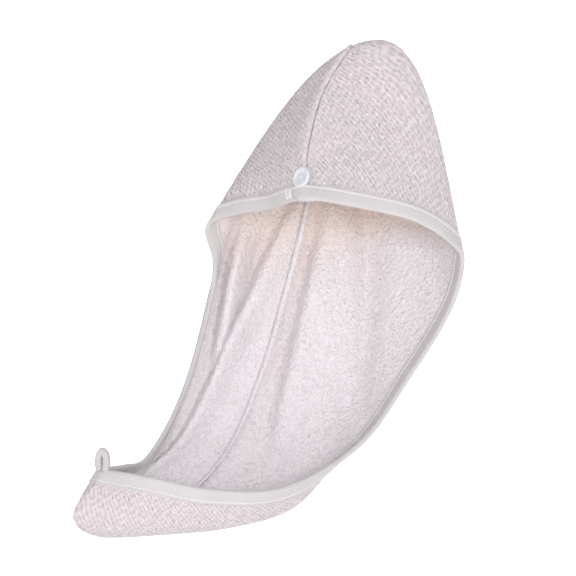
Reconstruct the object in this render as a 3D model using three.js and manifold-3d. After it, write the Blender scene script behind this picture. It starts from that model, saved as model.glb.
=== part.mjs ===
// Hair turban towel: two towelling panels joined by one middle seam that runs from the brow
// over the crown and down the back to the tail tip. A binding tape folds over the open rim,
// a button sits above it at the brow and a loop stands at the tail.
// Millimetres. X runs across, Y runs back from the brow, Z is up.
// The origin is the head seat, inside the top of the hood.
import * as THREE from "three";
import { mergeVertices } from "three/addons/utils/BufferGeometryUtils.js";
import Module from "manifold-3d";

const wasm = await Module();
wasm.setup();

// The towel as it hangs
const overallWidth = 370;
const overallDepth = 190;
const overallHeight = 470;

// Cloth and its folds
const clothThickness = 2.6;
const foldHeight = 12;
const foldWidth = 30;

// Clearance between neighbouring pieces
const pieceGap = 0.3;

// Binding tape, folded over the rim with a leg on each face
const bindingWidth = 12;
const bindingThickness = 1.1;
const bindingLap = 13;

// Seam allowance that stands up inside
const seamRidgeWidth = 3;
const seamRidgeHeight = 4.5;

// Button above the brow, left of the seam
const buttonDiameter = 20;
const buttonThickness = 3;
const buttonRimWidth = 3.2;
const buttonWellDepth = 0.9;
const buttonRounding = 0.6;
const buttonRise = 24;
const buttonShift = 4.5;
const holeDiameter = 2;
const holeSpacing = 3.4;
const threadDiameter = 1.1;

// Loop at the tail tip, a soft band bent into a ring
const loopHeight = 21;
const loopWidth = 15.5;
const loopStockAcross = 5.8;
const loopStockDeep = 6;
const loopFootTurn = 2.5;

// Mesh fineness
const rowsAlong = 46;
const columnsAcross = 17;
const ridgeEndRows = 4;
const roundSides = 24;
const smallSides = 8;

// Where the head seat lies in the towel's box: shares of the width, depth and height
const seat = { across: 0.72, back: 0.6, down: 0.05 };

// Sections from the brow (first) over the crown and down to the tail tip (last).
// Each point is [across, back, down] as shares of the overall width, depth and height.
const sections = [
  { seam: [0.585, 0.150, 0.319], leftBelly: [0.585, 0.150, 0.319], leftRim: [0.585, 0.150, 0.319],
    rightBelly: [0.585, 0.150, 0.319], rightRim: [0.585, 0.150, 0.319], fullness: 0.9 },
  { seam: [0.595, 0.230, 0.225], leftBelly: [0.495, 0.350, 0.245], leftRim: [0.495, 0.400, 0.335],
    rightBelly: [0.715, 0.230, 0.230], rightRim: [0.700, 0.185, 0.331], fullness: 0.9 },
  { seam: [0.635, 0.340, 0.105], leftBelly: [0.495, 0.480, 0.165], leftRim: [0.396, 0.560, 0.345],
    rightBelly: [0.836, 0.370, 0.105], rightRim: [0.868, 0.290, 0.360], fullness: 0.9 },
  { seam: [0.715, 0.480, 0.005], leftBelly: [0.577, 0.550, 0.045], leftRim: [0.333, 0.650, 0.370],
    rightBelly: [0.900, 0.480, -0.058], rightRim: [0.975, 0.440, 0.410], fullness: 1.3 },
  { seam: [0.690, 0.740, 0.085], leftBelly: [0.460, 0.800, 0.140], leftRim: [0.350, 0.725, 0.445],
    rightBelly: [0.880, 0.800, 0.050], rightRim: [0.997, 0.520, 0.450], fullness: 0.9 },
  { seam: [0.610, 0.910, 0.270], leftBelly: [0.350, 0.910, 0.350], leftRim: [0.330, 0.745, 0.545],
    rightBelly: [0.945, 1.010, 0.320], rightRim: [0.965, 0.585, 0.545], fullness: 0.9 },
  { seam: [0.538, 0.930, 0.485], leftBelly: [0.315, 0.900, 0.550], leftRim: [0.280, 0.720, 0.685],
    rightBelly: [0.820, 0.990, 0.555], rightRim: [0.860, 0.570, 0.680], fullness: 0.9 },
  { seam: [0.473, 0.850, 0.665], leftBelly: [0.280, 0.840, 0.710], leftRim: [0.225, 0.660, 0.785],
    rightBelly: [0.715, 0.890, 0.785], rightRim: [0.730, 0.450, 0.815], fullness: 0.9 },
  { seam: [0.387, 0.690, 0.830], leftBelly: [0.220, 0.760, 0.845], leftRim: [0.170, 0.550, 0.850],
    rightBelly: [0.672, 0.600, 0.995], rightRim: [0.540, 0.175, 0.894], fullness: 0.9 },
  { seam: [0.268, 0.490, 0.935], leftBelly: [0.115, 0.575, 0.905], leftRim: [0.130, 0.340, 0.853],
    rightBelly: [0.480, 0.250, 1.040], rightRim: [0.360, 0.050, 0.895], fullness: 0.9 },
  { seam: [0.108, 0.270, 0.990], leftBelly: [0.018, 0.330, 0.945], leftRim: [0.092, 0.220, 0.854],
    rightBelly: [0.200, 0.020, 1.000], rightRim: [0.205, 0.040, 0.870], fullness: 0.9 },
  { seam: [0.016, 0.140, 0.955], leftBelly: [0.000, 0.200, 0.930], leftRim: [0.076, 0.160, 0.855],
    rightBelly: [-0.005, 0.040, 0.955], rightRim: [0.115, 0.055, 0.858], fullness: 0.9 },
  { seam: [0.072, 0.095, 0.856], leftBelly: [0.072, 0.095, 0.856], leftRim: [0.072, 0.095, 0.856],
    rightBelly: [0.072, 0.095, 0.856], rightRim: [0.072, 0.095, 0.856], fullness: 0.9 },
];

// Folds. Side is -1 left of the seam and 1 right of it. From and to are shares of the run of
// the sections, start and end are places between the seam (0) and the rim (1), and bow is the
// sideways bend half way. Height is a share of foldHeight, up on the inner face, and steep
// (to the left), gentle (to the right) and lean are shares of foldWidth.
const foldColumns = ["side", "from", "to", "start", "end", "bow", "height", "steep", "gentle", "lean"];
const folds = [
  [-1, 0.38, 0.58, 0.52, 0.38, 0.04, 1.20, 0.22, 0.80, 0.20],
  [-1, 0.40, 0.56, 0.18, 0.34, 0.04, -0.35, 0.35, 0.35, 0.00],
  [-1, 0.38, 0.78, -0.12, 0.60, 0.16, 1.25, 0.26, 0.80, 0.15],
  [1, 0.40, 0.66, 0.05, 0.09, 0.00, -0.40, 0.25, 0.30, 0.00],
  [1, 0.38, 0.70, 0.08, 0.24, 0.02, 0.80, 0.25, 0.90, 0.10],
  [1, 0.37, 0.58, 0.10, 0.68, 0.00, -0.85, 0.35, 0.70, 0.00],
  [1, 0.60, 0.72, 0.14, 0.28, 0.00, -0.40, 0.60, 0.60, 0.00],
  [-1, 0.04, 0.27, 0.10, 0.04, 0.00, -0.25, 0.40, 0.20, 0.00],
  [1, 0.04, 0.13, 0.05, 0.40, 0.00, 0.12, 0.30, 0.30, 0.00],
].map((row) => Object.fromEntries(row.map((value, index) => [foldColumns[index], value])));

// A fold fades over this share of its run at each end, and towards the rim
const foldFade = 0.35;
const rimFade = { from: 0.04, to: 0.2 };

// The main fold of each side, which the grid's columns follow
const mainFolds = { "-1": folds[2], 1: folds[4] };
const mainColumn = 0.3;
const leastCrest = 0.06;
const followFade = { outside: 0.1, inside: 0.02 };

// The normal is shared by both panels at the seam and is each panel's own beyond this place
const seamBlend = 0.08;

// Small steps for directions, and how often a search is refined
const lastSection = sections.length - 1;
const step = 0.01;
const endMargin = 0.05;
const searchRounds = 12;
const halvings = 30;

function place([across, back, down]) {
  return new THREE.Vector3(
    (across - seat.across) * overallWidth,
    (back - seat.back) * overallDepth,
    (seat.down - down) * overallHeight,
  );
}

function guide(name) {
  return sections.map((section) => place(section[name]));
}

function openCurve(name) {
  return new THREE.CatmullRomCurve3(guide(name), false, "catmullrom");
}

const seamCurve = openCurve("seam");
const bellyCurves = { left: openCurve("leftBelly"), right: openCurve("rightBelly") };
const rimCurve = new THREE.CatmullRomCurve3(
  [...guide("rightRim"), ...guide("leftRim").reverse().slice(1, -1)],
  true,
  "catmullrom",
);
const fullnessCurve = new THREE.SplineCurve(
  sections.map((section, index) => new THREE.Vector2(index, section.fullness)),
);

function mix(from, to, share) {
  return from + (to - from) * share;
}

// A place on the rim: 0 at the brow, positive down the right side, negative down the left.
function rimAt(station) {
  const turn = station / (2 * lastSection);
  return rimCurve.getPoint(turn - Math.floor(turn));
}

// The cloth's outer face before folds. Along runs over the sections, across from the left
// rim (-1) over the seam (0) to the right rim (1).
function smoothCloth(along, across) {
  const share = Math.abs(across);
  const seam = seamCurve.getPoint(along / lastSection);
  const belly = bellyCurves[across < 0 ? "left" : "right"].getPoint(along / lastSection);
  const rim = rimAt(across < 0 ? -along : along);
  const fullness = fullnessCurve.getPoint(along / lastSection).y;
  const weights = [(1 - share) ** 2, 2 * fullness * share * (1 - share), share ** 2];
  const total = weights[0] + weights[1] + weights[2];
  return seam.multiplyScalar(weights[0] / total)
    .addScaledVector(belly, weights[1] / total)
    .addScaledVector(rim, weights[2] / total);
}

// Directions on a face of the cloth: along, across and the normal away from the head.
function directions(face, along, across, side) {
  const nearAlong = THREE.MathUtils.clamp(along, endMargin, lastSection - endMargin);
  const inner = side < 0 ? Math.min(across, -step) : Math.max(across, step);
  const middle = THREE.MathUtils.clamp(inner, step - 1, 1 - step);
  const alongWay = face(nearAlong + step, across).sub(face(nearAlong - step, across));
  const acrossWay = face(nearAlong, middle + step).sub(face(nearAlong, middle - step));
  const normal = acrossWay.clone().cross(alongWay).normalize();
  return { alongWay: alongWay.normalize(), acrossWay: acrossWay.normalize(), normal };
}

function crestPlace(fold, run) {
  return mix(fold.start, fold.end, run) + fold.bow * 4 * run * (1 - run);
}

function foldShare(fold, along, across) {
  const run = (along / lastSection - fold.from) / (fold.to - fold.from);
  if (run <= 0 || run >= 1) return 0;
  const crest = crestPlace(fold, run);
  const ribLength = smoothCloth(along, 0).distanceTo(smoothCloth(along, fold.side));
  const offset = (across - fold.side * crest) * ribLength / foldWidth;
  const width = offset < 0 ? fold.steep : fold.gentle;
  const fade = Math.min(1, run / foldFade, (1 - run) / foldFade);
  const atRim = THREE.MathUtils.smoothstep(1 - Math.abs(across), rimFade.from, rimFade.to);
  return Math.exp(-((offset / width) ** 2)) * fade * fade * (3 - 2 * fade) * atRim;
}

// The cloth's outer face with its folds, which stand up towards the head.
function cloth(along, across) {
  const point = smoothCloth(along, across);
  const { acrossWay, normal } = directions(smoothCloth, along, across, across);
  for (const fold of folds) {
    const share = foldShare(fold, along, across);
    point.addScaledVector(normal, -share * fold.height * foldHeight);
    point.addScaledVector(acrossWay, -share * fold.lean * foldWidth);
  }
  return point;
}

function normalAt(along, across, side) {
  const own = directions(cloth, along, across, side).normal;
  const left = directions(cloth, along, 0, -1).normal;
  const right = directions(cloth, along, 0, 1).normal;
  const share = THREE.MathUtils.smoothstep(Math.abs(across), 0, seamBlend);
  return left.add(right).normalize().lerp(own, share).normalize();
}

// The place on the smooth cloth nearest to a target, searched on one side of the seam.
function nearest(target, startAlong, startAcross, side) {
  let along = startAlong;
  let across = startAcross;
  for (let round = 0; round < searchRounds; round += 1) {
    const inner = THREE.MathUtils.clamp(Math.abs(across), step, 1 - step) * side;
    const middle = THREE.MathUtils.clamp(along, step, lastSection - step);
    const missing = target.clone().sub(smoothCloth(along, across));
    const byAlong = smoothCloth(middle + step, across).sub(smoothCloth(middle - step, across));
    const byAcross = smoothCloth(middle, inner + step).sub(smoothCloth(middle, inner - step));
    const aa = byAlong.lengthSq();
    const bb = byAcross.lengthSq();
    const ab = byAlong.dot(byAcross);
    const scale = 2 * step / Math.max(aa * bb - ab * ab, 1e-9);
    const ra = byAlong.dot(missing);
    const rb = byAcross.dot(missing);
    along += (ra * bb - rb * ab) * scale;
    across += (rb * aa - ra * ab) * scale;
    along = THREE.MathUtils.clamp(along, 0, lastSection);
    across = side * THREE.MathUtils.clamp(across * side, 0, 1);
  }
  return { along, across };
}

// The section place on the seam at a distance from the brow end or the tail end.
function seamPlace(distance, fromTail) {
  const end = fromTail ? lastSection : 0;
  const tip = seamCurve.getPoint(end / lastSection);
  let low = 0;
  let high = 2;
  for (let round = 0; round < halvings; round += 1) {
    const middle = (low + high) / 2;
    const reach = seamCurve.getPoint(Math.abs(end - middle) / lastSection).distanceTo(tip);
    if (reach < distance) low = middle;
    else high = middle;
  }
  return { along: Math.abs(end - low), across: 0 };
}

// Stations run down a rim from the brow to the tail tip, the first one a lap away.
function rimStations() {
  let lap = 0;
  while (rimAt(-lap).distanceTo(rimAt(0)) < bindingLap) lap += step;
  const stations = [0];
  for (let row = 1; row <= rowsAlong; row += 1) {
    stations.push(mix(lap, lastSection, (row - 1) / (rowsAlong - 1)));
  }
  return stations;
}

const stations = rimStations();
const brow = seamPlace(bindingWidth, false);
const tail = seamPlace(bindingWidth, true);

// The place on the cloth under the free edge of the binding, square to the rim.
function underBinding(row, side) {
  if (row === 0) return brow;
  if (row === rowsAlong) return tail;
  const station = stations[row];
  const rim = rimAt(side * station);
  const way = rimAt(side * (station + step)).sub(rimAt(side * (station - step))).normalize();
  const inward = smoothCloth(station, side * (1 - step)).sub(rim);
  inward.addScaledVector(way, -inward.dot(way));
  const target = rim.clone().addScaledVector(inward.normalize(), bindingWidth);
  const ribLength = smoothCloth(station, 0).distanceTo(rim);
  const startAcross = side * Math.max(0.2, 1 - bindingWidth / ribLength);
  return nearest(target, station, startAcross, side);
}

const bindingEdges = { "-1": [], 1: [] };
for (const side of [-1, 1]) {
  for (let row = 0; row <= rowsAlong; row += 1) {
    bindingEdges[side].push(underBinding(row, side));
  }
}

// Moves a column of the grid so that one column keeps to the crest of the side's main fold.
function followFold(side, along, share) {
  const fold = mainFolds[side];
  const section = along / lastSection;
  const run = THREE.MathUtils.clamp((section - fold.from) / (fold.to - fold.from), 0, 1);
  const { outside, inside } = followFade;
  const begun = THREE.MathUtils.smoothstep(section, fold.from - outside, fold.from + inside);
  const ended = THREE.MathUtils.smoothstep(section, fold.to - inside, fold.to + outside);
  const near = begun * (1 - ended);
  const crest = mix(mainColumn, Math.max(crestPlace(fold, run), leastCrest), near);
  if (share < mainColumn) return share / mainColumn * crest;
  return mix(crest, 1, (share - mainColumn) / (1 - mainColumn));
}

// The place on the rim at a row. Both sides share it at the brow and at the tail tip.
function rimPlace(side, row) {
  const isEnd = row === 0 || row === rowsAlong;
  return { along: stations[row], across: isEnd ? 0 : side };
}

// One corner of a panel's grid. Column 0 is the seam and the last column is the rim.
function panelPlace(side, row, column) {
  if (column === columnsAcross + 1) return rimPlace(side, row);
  const edge = bindingEdges[side][row];
  const start = mix(brow.along, tail.along, row / rowsAlong);
  const share = followFold(side, start, column / columnsAcross);
  return { along: mix(start, edge.along, share), across: edge.across * share };
}

function clothPoint(side, { along, across }, inset) {
  const normal = normalAt(along, across, side);
  const point = cloth(along, across).addScaledVector(normal, -inset);
  if (across === 0) {
    const way = directions(smoothCloth, along, 0, side).alongWay;
    point.addScaledVector(way.cross(normal).normalize(), side * pieceGap / 2);
  }
  return point;
}

// A grid of points, counted along three directions.
function grid(counts, pointAt) {
  return Array.from({ length: counts[0] + 1 }, (_, i) =>
    Array.from({ length: counts[1] + 1 }, (_, j) =>
      Array.from({ length: counts[2] + 1 }, (_, k) => pointAt(i, j, k))));
}

// Two triangles that split a four-sided cell along its shorter diagonal.
function shorterSplit([a, b, c, d]) {
  return a.distanceTo(c) < b.distanceTo(d) ? [a, b, c, a, c, d] : [a, b, d, b, c, d];
}

// The closed skin of such a grid. Cells that shrink to nothing at a fan's tip fall away.
function blockSolid(counts, pointAt) {
  const points = grid(counts, pointAt);
  const corners = [];
  for (const [u, v, w] of [[0, 1, 2], [1, 2, 0], [2, 0, 1]]) {
    for (const level of [0, counts[w]]) {
      for (let i = 0; i < counts[u]; i += 1) {
        for (let j = 0; j < counts[v]; j += 1) {
          const quad = [[0, 0], [1, 0], [1, 1], [0, 1]].map(([di, dj]) => {
            const index = [];
            index[u] = i + di;
            index[v] = j + dj;
            index[w] = level;
            return points[index[0]][index[1]][index[2]];
          });
          if (level === 0) quad.reverse();
          corners.push(...shorterSplit(quad));
        }
      }
    }
  }
  return closedGeometry(new THREE.BufferGeometry().setFromPoints(corners));
}

// Merges shared corners, drops empty triangles and pairs that lie back to back, and turns
// the faces outwards.
function closedGeometry(source) {
  const geometry = source.clone();
  geometry.deleteAttribute("normal");
  geometry.deleteAttribute("uv");
  const merged = mergeVertices(geometry, 1e-3);
  const position = merged.getAttribute("position");
  const kept = new Map();
  for (let i = 0; i < merged.index.count; i += 3) {
    const triple = [0, 1, 2].map((corner) => merged.index.getX(i + corner));
    const key = [...triple].sort().join();
    if (kept.has(key)) kept.delete(key);
    else if (new Set(triple).size === 3) kept.set(key, triple);
  }
  let volume = 0;
  for (const triple of kept.values()) {
    const [a, b, c] = triple.map((index) => new THREE.Vector3().fromBufferAttribute(position, index));
    volume += a.dot(b.cross(c));
  }
  const triples = [...kept.values()].map((triple) => (volume < 0 ? triple.reverse() : triple));
  merged.setIndex(triples.flat());
  return merged;
}

function toManifold(source) {
  const geometry = closedGeometry(source);
  const vertProperties = new Float32Array(geometry.getAttribute("position").array);
  const triVerts = new Uint32Array(geometry.index.array);
  return new wasm.Manifold(new wasm.Mesh({ numProp: 3, vertProperties, triVerts }));
}

function fromManifold(solid) {
  const { vertProperties, triVerts } = solid.getMesh();
  const geometry = new THREE.BufferGeometry();
  geometry.setAttribute("position", new THREE.BufferAttribute(vertProperties, 3));
  geometry.setIndex(new THREE.BufferAttribute(triVerts, 1));
  return geometry;
}

// One towelling panel: a wall from the middle seam to the rim.
function panel(side) {
  const counts = [rowsAlong, columnsAcross + 1, 1];
  return blockSolid(counts, (row, column, face) =>
    clothPoint(side, panelPlace(side, row, column), face * clothThickness));
}

// The seam allowance on the inner face, between the free edges of the binding. Its two feet
// stand on the panels, half its width from the seam.
function seamRidge() {
  const counts = [rowsAlong - 2 * ridgeEndRows, 1, 1];
  return blockSolid(counts, (index, sideIndex, level) => {
    const side = sideIndex * 2 - 1;
    const [seam, next] = [0, 1].map((column) => panelPlace(side, index + ridgeEndRows, column));
    const foot = clothPoint(side, seam, clothThickness);
    const away = clothPoint(side, next, clothThickness).sub(foot).normalize();
    const normal = normalAt(seam.along, 0, side);
    return foot.addScaledVector(away, seamRidgeWidth / 2)
      .addScaledVector(normal, -pieceGap - level * seamRidgeHeight);
  });
}

// The binding runs from the brow down the left rim, round the tail tip, up the right rim
// and over its own start. Each leg lies on one face and the fold goes round the edge.
function binding() {
  const run = [];
  for (let row = 0; row <= rowsAlong; row += 1) {
    run.push({ side: -1, row, lift: 0 });
  }
  for (let row = rowsAlong - 1; row >= 1; row -= 1) {
    run.push({ side: 1, row, lift: 0 });
  }
  const lapLift = bindingThickness + pieceGap;
  run.push({ side: 1, row: 0, lift: lapLift });
  run.push({ side: -1, row: 1, lift: lapLift });
  const foldAngles = [90, 90, 45, 0, -45, -90, -90];
  return blockSolid([run.length - 1, foldAngles.length - 1, 1], (index, column, layer) => {
    const { side, row, lift } = run[index];
    const angle = THREE.MathUtils.degToRad(foldAngles[column]);
    const reach = clothThickness / 2 + pieceGap + lift + layer * bindingThickness;
    const isLeg = column === 0 || column === foldAngles.length - 1;
    const base = isLeg ? bindingEdges[side][row] : rimPlace(side, row);
    const rim = cloth(stations[row], side);
    const edge = cloth(bindingEdges[side][row].along, bindingEdges[side][row].across);
    const outward = rim.clone().sub(edge).normalize();
    const normal = normalAt(base.along, base.across, side);
    outward.addScaledVector(normal, -outward.dot(normal)).normalize();
    return cloth(base.along, base.across)
      .addScaledVector(normal, reach * Math.sin(angle) - clothThickness / 2)
      .addScaledVector(outward, reach * Math.cos(angle));
  });
}

// The button's own frame: flat on the cloth, with its axis along the cloth's normal.
function buttonFrame() {
  const target = rimAt(0).add(new THREE.Vector3(-buttonShift, 0, buttonRise));
  const spot = nearest(target, 0.5, -0.2, -1);
  const { normal, alongWay } = directions(smoothCloth, spot.along, spot.across, -1);
  const sideways = alongWay.clone().cross(normal).normalize();
  const upward = normal.clone().cross(sideways);
  return new THREE.Matrix4()
    .makeBasis(sideways, upward, normal)
    .setPosition(cloth(spot.along, spot.across).addScaledVector(normal, 2 * pieceGap));
}

function holePlaces() {
  return [0, 1, 2, 3].map((index) => {
    const turn = (index + 0.5) * Math.PI / 2;
    const reach = holeSpacing / Math.SQRT2;
    return new THREE.Vector2(Math.cos(turn) * reach, Math.sin(turn) * reach);
  });
}

// A round button with a raised rim, a well and four holes.
function button() {
  const radius = buttonDiameter / 2;
  const inner = radius - buttonRimWidth;
  const well = buttonThickness - buttonWellDepth;
  const profile = [
    [0, 0],
    [radius - buttonRounding, 0],
    [radius, buttonRounding],
    [radius, buttonThickness - buttonRounding],
    [radius - buttonRounding, buttonThickness],
    [inner + buttonRounding, buttonThickness],
    [inner, well],
    [0, well],
  ].map(([x, y]) => new THREE.Vector2(x, y));
  const disc = new THREE.LatheGeometry(profile, roundSides).rotateX(Math.PI / 2);
  let solid = toManifold(disc);
  for (const { x, y } of holePlaces()) {
    const radiusOfHole = holeDiameter / 2;
    const length = 3 * buttonThickness;
    const drill = new THREE.CylinderGeometry(radiusOfHole, radiusOfHole, length, smallSides);
    solid = solid.subtract(toManifold(drill.rotateX(Math.PI / 2).translate(x, y, 0)));
  }
  return fromManifold(solid);
}

// Two crossed stitches in the well, with a leg down each hole.
function buttonThread() {
  const well = buttonThickness - buttonWellDepth;
  const top = well + pieceGap + threadDiameter / 2;
  const radius = threadDiameter / 2;
  const legs = holePlaces().map(({ x, y }) => toManifold(
    new THREE.CylinderGeometry(radius, radius, top, smallSides)
      .rotateX(Math.PI / 2).translate(x, y, top / 2),
  ));
  const bars = [0, 1].map((index) => toManifold(
    new THREE.BoxGeometry(holeSpacing * Math.SQRT2 + threadDiameter, threadDiameter, threadDiameter)
      .rotateZ((index + 0.5) * Math.PI / 2).translate(0, 0, top),
  ));
  return fromManifold([...legs, ...bars].reduce((all, piece) => all.add(piece)));
}

// A soft band bent into a ring, its two ends side by side on the rim at the tail tip.
function loop() {
  const halfWidth = (loopWidth - loopStockAcross) / 2;
  const footDrop = 1 + Math.cos(loopFootTurn);
  const halfHeight = (loopHeight - loopStockAcross / 2) / (2 - footDrop);
  const rings = 2 * smallSides;
  return blockSolid([rings, smallSides, 1], (ring, turn, skin) => {
    const bend = mix(-loopFootTurn, loopFootTurn, ring / rings);
    const around = turn / smallSides * 2 * Math.PI;
    const out = new THREE.Vector2(Math.sin(bend) * halfHeight, Math.cos(bend) * halfWidth);
    out.normalize();
    const radial = skin * Math.cos(around) * loopStockAcross / 2;
    return new THREE.Vector3(
      Math.sin(bend) * halfWidth + out.x * radial,
      skin * Math.sin(around) * loopStockDeep / 2,
      (1 + Math.cos(bend) - footDrop) * halfHeight + out.y * radial,
    );
  });
}

// Stands the loop on the binding's fold at the tail tip, facing forwards.
function seatLoop(geometry) {
  const foot = loopWidth / 3;
  let station = lastSection;
  while (rimAt(station).distanceTo(rimAt(lastSection)) < foot) station -= step;
  const { normal } = directions(smoothCloth, station, 1, 1);
  const middle = rimAt(station).addScaledVector(normal, -clothThickness / 2);
  const fold = clothThickness / 2 + pieceGap + bindingThickness;
  const way = rimAt(2 * station - lastSection).sub(rimAt(lastSection));
  geometry.rotateZ(Math.atan2(way.y, way.x));
  geometry.computeBoundingBox();
  const rise = fold + pieceGap - geometry.boundingBox.min.z;
  return geometry.translate(middle.x, middle.y, middle.z + rise);
}

const towelling = { color: 0xe2d9dc, roughness: 0.95, metalness: 0 };
const tape = { color: 0xe1ddde, roughness: 0.85, metalness: 0 };
const plastic = { color: 0xdcdde3, roughness: 0.3, metalness: 0 };
const cotton = { color: 0xeeece6, roughness: 0.9, metalness: 0 };

const onButton = buttonFrame();
const pieces = [
  ["left_panel", panel(-1), towelling],
  ["right_panel", panel(1), towelling],
  ["seam_ridge", seamRidge(), towelling],
  ["rim_binding", binding(), tape],
  ["button", button().applyMatrix4(onButton), plastic],
  ["button_thread", buttonThread().applyMatrix4(onButton), cotton],
  ["button_loop", seatLoop(loop()), tape],
];

const towel = new THREE.Group();
for (const [name, geometry, finish] of pieces) {
  const mesh = new THREE.Mesh(geometry, new THREE.MeshStandardMaterial(finish));
  mesh.name = name;
  towel.add(mesh);
}

export default towel;
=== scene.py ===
import math

import bpy
import numpy as np
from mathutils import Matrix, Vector, noise


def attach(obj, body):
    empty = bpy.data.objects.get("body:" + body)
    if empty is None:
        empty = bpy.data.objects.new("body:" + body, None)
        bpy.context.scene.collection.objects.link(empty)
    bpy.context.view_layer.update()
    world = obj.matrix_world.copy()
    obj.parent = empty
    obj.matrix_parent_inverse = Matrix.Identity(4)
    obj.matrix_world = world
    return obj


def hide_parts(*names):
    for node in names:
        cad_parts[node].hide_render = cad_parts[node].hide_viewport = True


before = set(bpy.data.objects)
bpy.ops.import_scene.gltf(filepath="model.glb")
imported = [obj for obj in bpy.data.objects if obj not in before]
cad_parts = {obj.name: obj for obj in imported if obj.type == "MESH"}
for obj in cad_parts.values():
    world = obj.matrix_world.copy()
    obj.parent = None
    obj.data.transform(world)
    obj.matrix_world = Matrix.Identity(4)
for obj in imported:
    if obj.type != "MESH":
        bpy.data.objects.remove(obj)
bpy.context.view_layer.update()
print("frame loaded")


# Camera: straight on at the height of the photo's middle
cameraSettings = {
    "place": (-0.0650, -2.0795, -0.2102),
    "lens": 134.9,
    "sensor": 36.0,
}

camera = bpy.data.objects.new("camera", bpy.data.cameras.new("camera"))
camera.location = cameraSettings["place"]
camera.rotation_euler = (math.radians(90), 0, 0)
camera.data.lens = cameraSettings["lens"]
camera.data.sensor_width = cameraSettings["sensor"]
bpy.context.scene.collection.objects.link(camera)
bpy.context.scene.camera = camera
bpy.context.scene.view_settings.view_transform = "Standard"

# Soft studio: pale surroundings, a broad light from the front, a bright floor and backdrop
studio = {
    "surroundings": (0.64, 0.645, 0.665),
    "floorHeight": -0.62,
    "floorSize": 14.0,
    "floorColour": (0.50, 0.50, 0.505),
    "floorGlow": 0.74,
    "backdropPlace": 4.5,
    "backdropGlow": 1.1,
    "lights": [
        # name, place, aim, size, power, colour
        ("key", (0.35, -2.1, -0.10), (-0.05, 0.0, -0.2), 0.7, 21.0, (0.97, 0.985, 1.0)),
        ("fill", (-1.4, -1.9, 0.25), (-0.05, 0.0, -0.2), 1.6, 7.0, (1.0, 0.985, 0.98)),
    ],
}

world = bpy.data.worlds.new("studio")
world.use_nodes = True
world.node_tree.nodes["Background"].inputs["Color"].default_value = (*studio["surroundings"], 1)
world.node_tree.nodes["Background"].inputs["Strength"].default_value = 1.0
bpy.context.scene.world = world

for lightName, place, aim, size, power, colour in studio["lights"]:
    lamp = bpy.data.lights.new(lightName, "AREA")
    lamp.shape = "DISK"
    lamp.size = size
    lamp.energy = power
    lamp.color = colour
    light = bpy.data.objects.new(lightName, lamp)
    light.location = place
    light.rotation_euler = (Vector(aim) - Vector(place)).to_track_quat("-Z", "Y").to_euler()
    bpy.context.scene.collection.objects.link(light)
print("camera and lights placed")


# Materials
class NodeNet:
    # the nodes of one tree, each made and linked in one step
    def __init__(self, tree):
        self.nodes = tree.nodes
        self.add = tree.nodes.new
        self.link = tree.links.new

    def math(self, operation, first, second=None, third=None):
        node = self.add("ShaderNodeMath")
        node.operation = operation
        for index, value in enumerate((first, second, third)):
            if value is None:
                continue
            if isinstance(value, (int, float)):
                node.inputs[index].default_value = value
            else:
                self.link(value, node.inputs[index])
        return node.outputs[0]

    def cosine(self, value):
        return self.math("COSINE", self.math("MULTIPLY", value, 2 * math.pi))

    def place(self):
        return self.add("ShaderNodeTexCoord").outputs["Object"]

    def noise(self, vector, scale, detail=2.0, roughness=0.5):
        node = self.add("ShaderNodeTexNoise")
        node.inputs["Scale"].default_value = scale
        node.inputs["Detail"].default_value = detail
        node.inputs["Roughness"].default_value = roughness
        self.link(vector, node.inputs["Vector"])
        return node.outputs["Fac"]

    def mix(self, factor, low, high):
        node = self.add("ShaderNodeMix")
        node.data_type = "RGBA"
        node.inputs[6].default_value = (*low, 1)
        node.inputs[7].default_value = (*high, 1)
        self.link(factor, node.inputs[0])
        return node.outputs[2]

    def bump(self, height, distance, under=None):
        node = self.add("ShaderNodeBump")
        node.inputs["Distance"].default_value = distance
        node.inputs["Strength"].default_value = 1.0
        self.link(height, node.inputs["Height"])
        if under is not None:
            self.link(under, node.inputs["Normal"])
        return node.outputs["Normal"]

    def attribute(self, name):
        node = self.add("ShaderNodeAttribute")
        node.attribute_name = name
        return node.outputs["Fac"]

    def spread(self, value, gain, middle=0.5):
        # stretches a noise about its middle, so that light and dark spots stand out
        return self.math("MULTIPLY_ADD", value, gain, middle - gain * 0.5)


def newMaterial(name, settings):
    material = bpy.data.materials.new(name)
    material.use_nodes = True
    net = NodeNet(material.node_tree)
    shader = net.nodes["Principled BSDF"]
    for socket, value in settings.items():
        shader.inputs[socket].default_value = value
    return material, net, shader


# Outer face: puffs in slanting rows, with painted shade in the hollows between them. The UV map counts rows
# one way and puffs the other.
waffle = {
    "paintedHollowShade": (0.45, 0.388, 0.404),
    "puffColour": (0.69, 0.626, 0.642),
    "rollColour": (0.72, 0.665, 0.680),
    "relief": 0.0009,
    "fuzz": 0.0007,
    "rowShare": 0.62,
    "puffShare": 0.38,
    "strayScale": 190.0,
    "strayOfRows": 0.9,
    "strayOfPuffs": -1.3,
    "fullnessScale": 1.1,
    "fullnessGain": 1.6,
    "fullnessMiddle": 0.9,
    "fuzzScale": 820.0,
    "clumpScale": 300.0,
    "clumpRelief": 0.0012,
    "hollowShadeShare": 0.8,
    "shadeBase": 0.10,
    "grainGain": 1.5,
}


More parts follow.
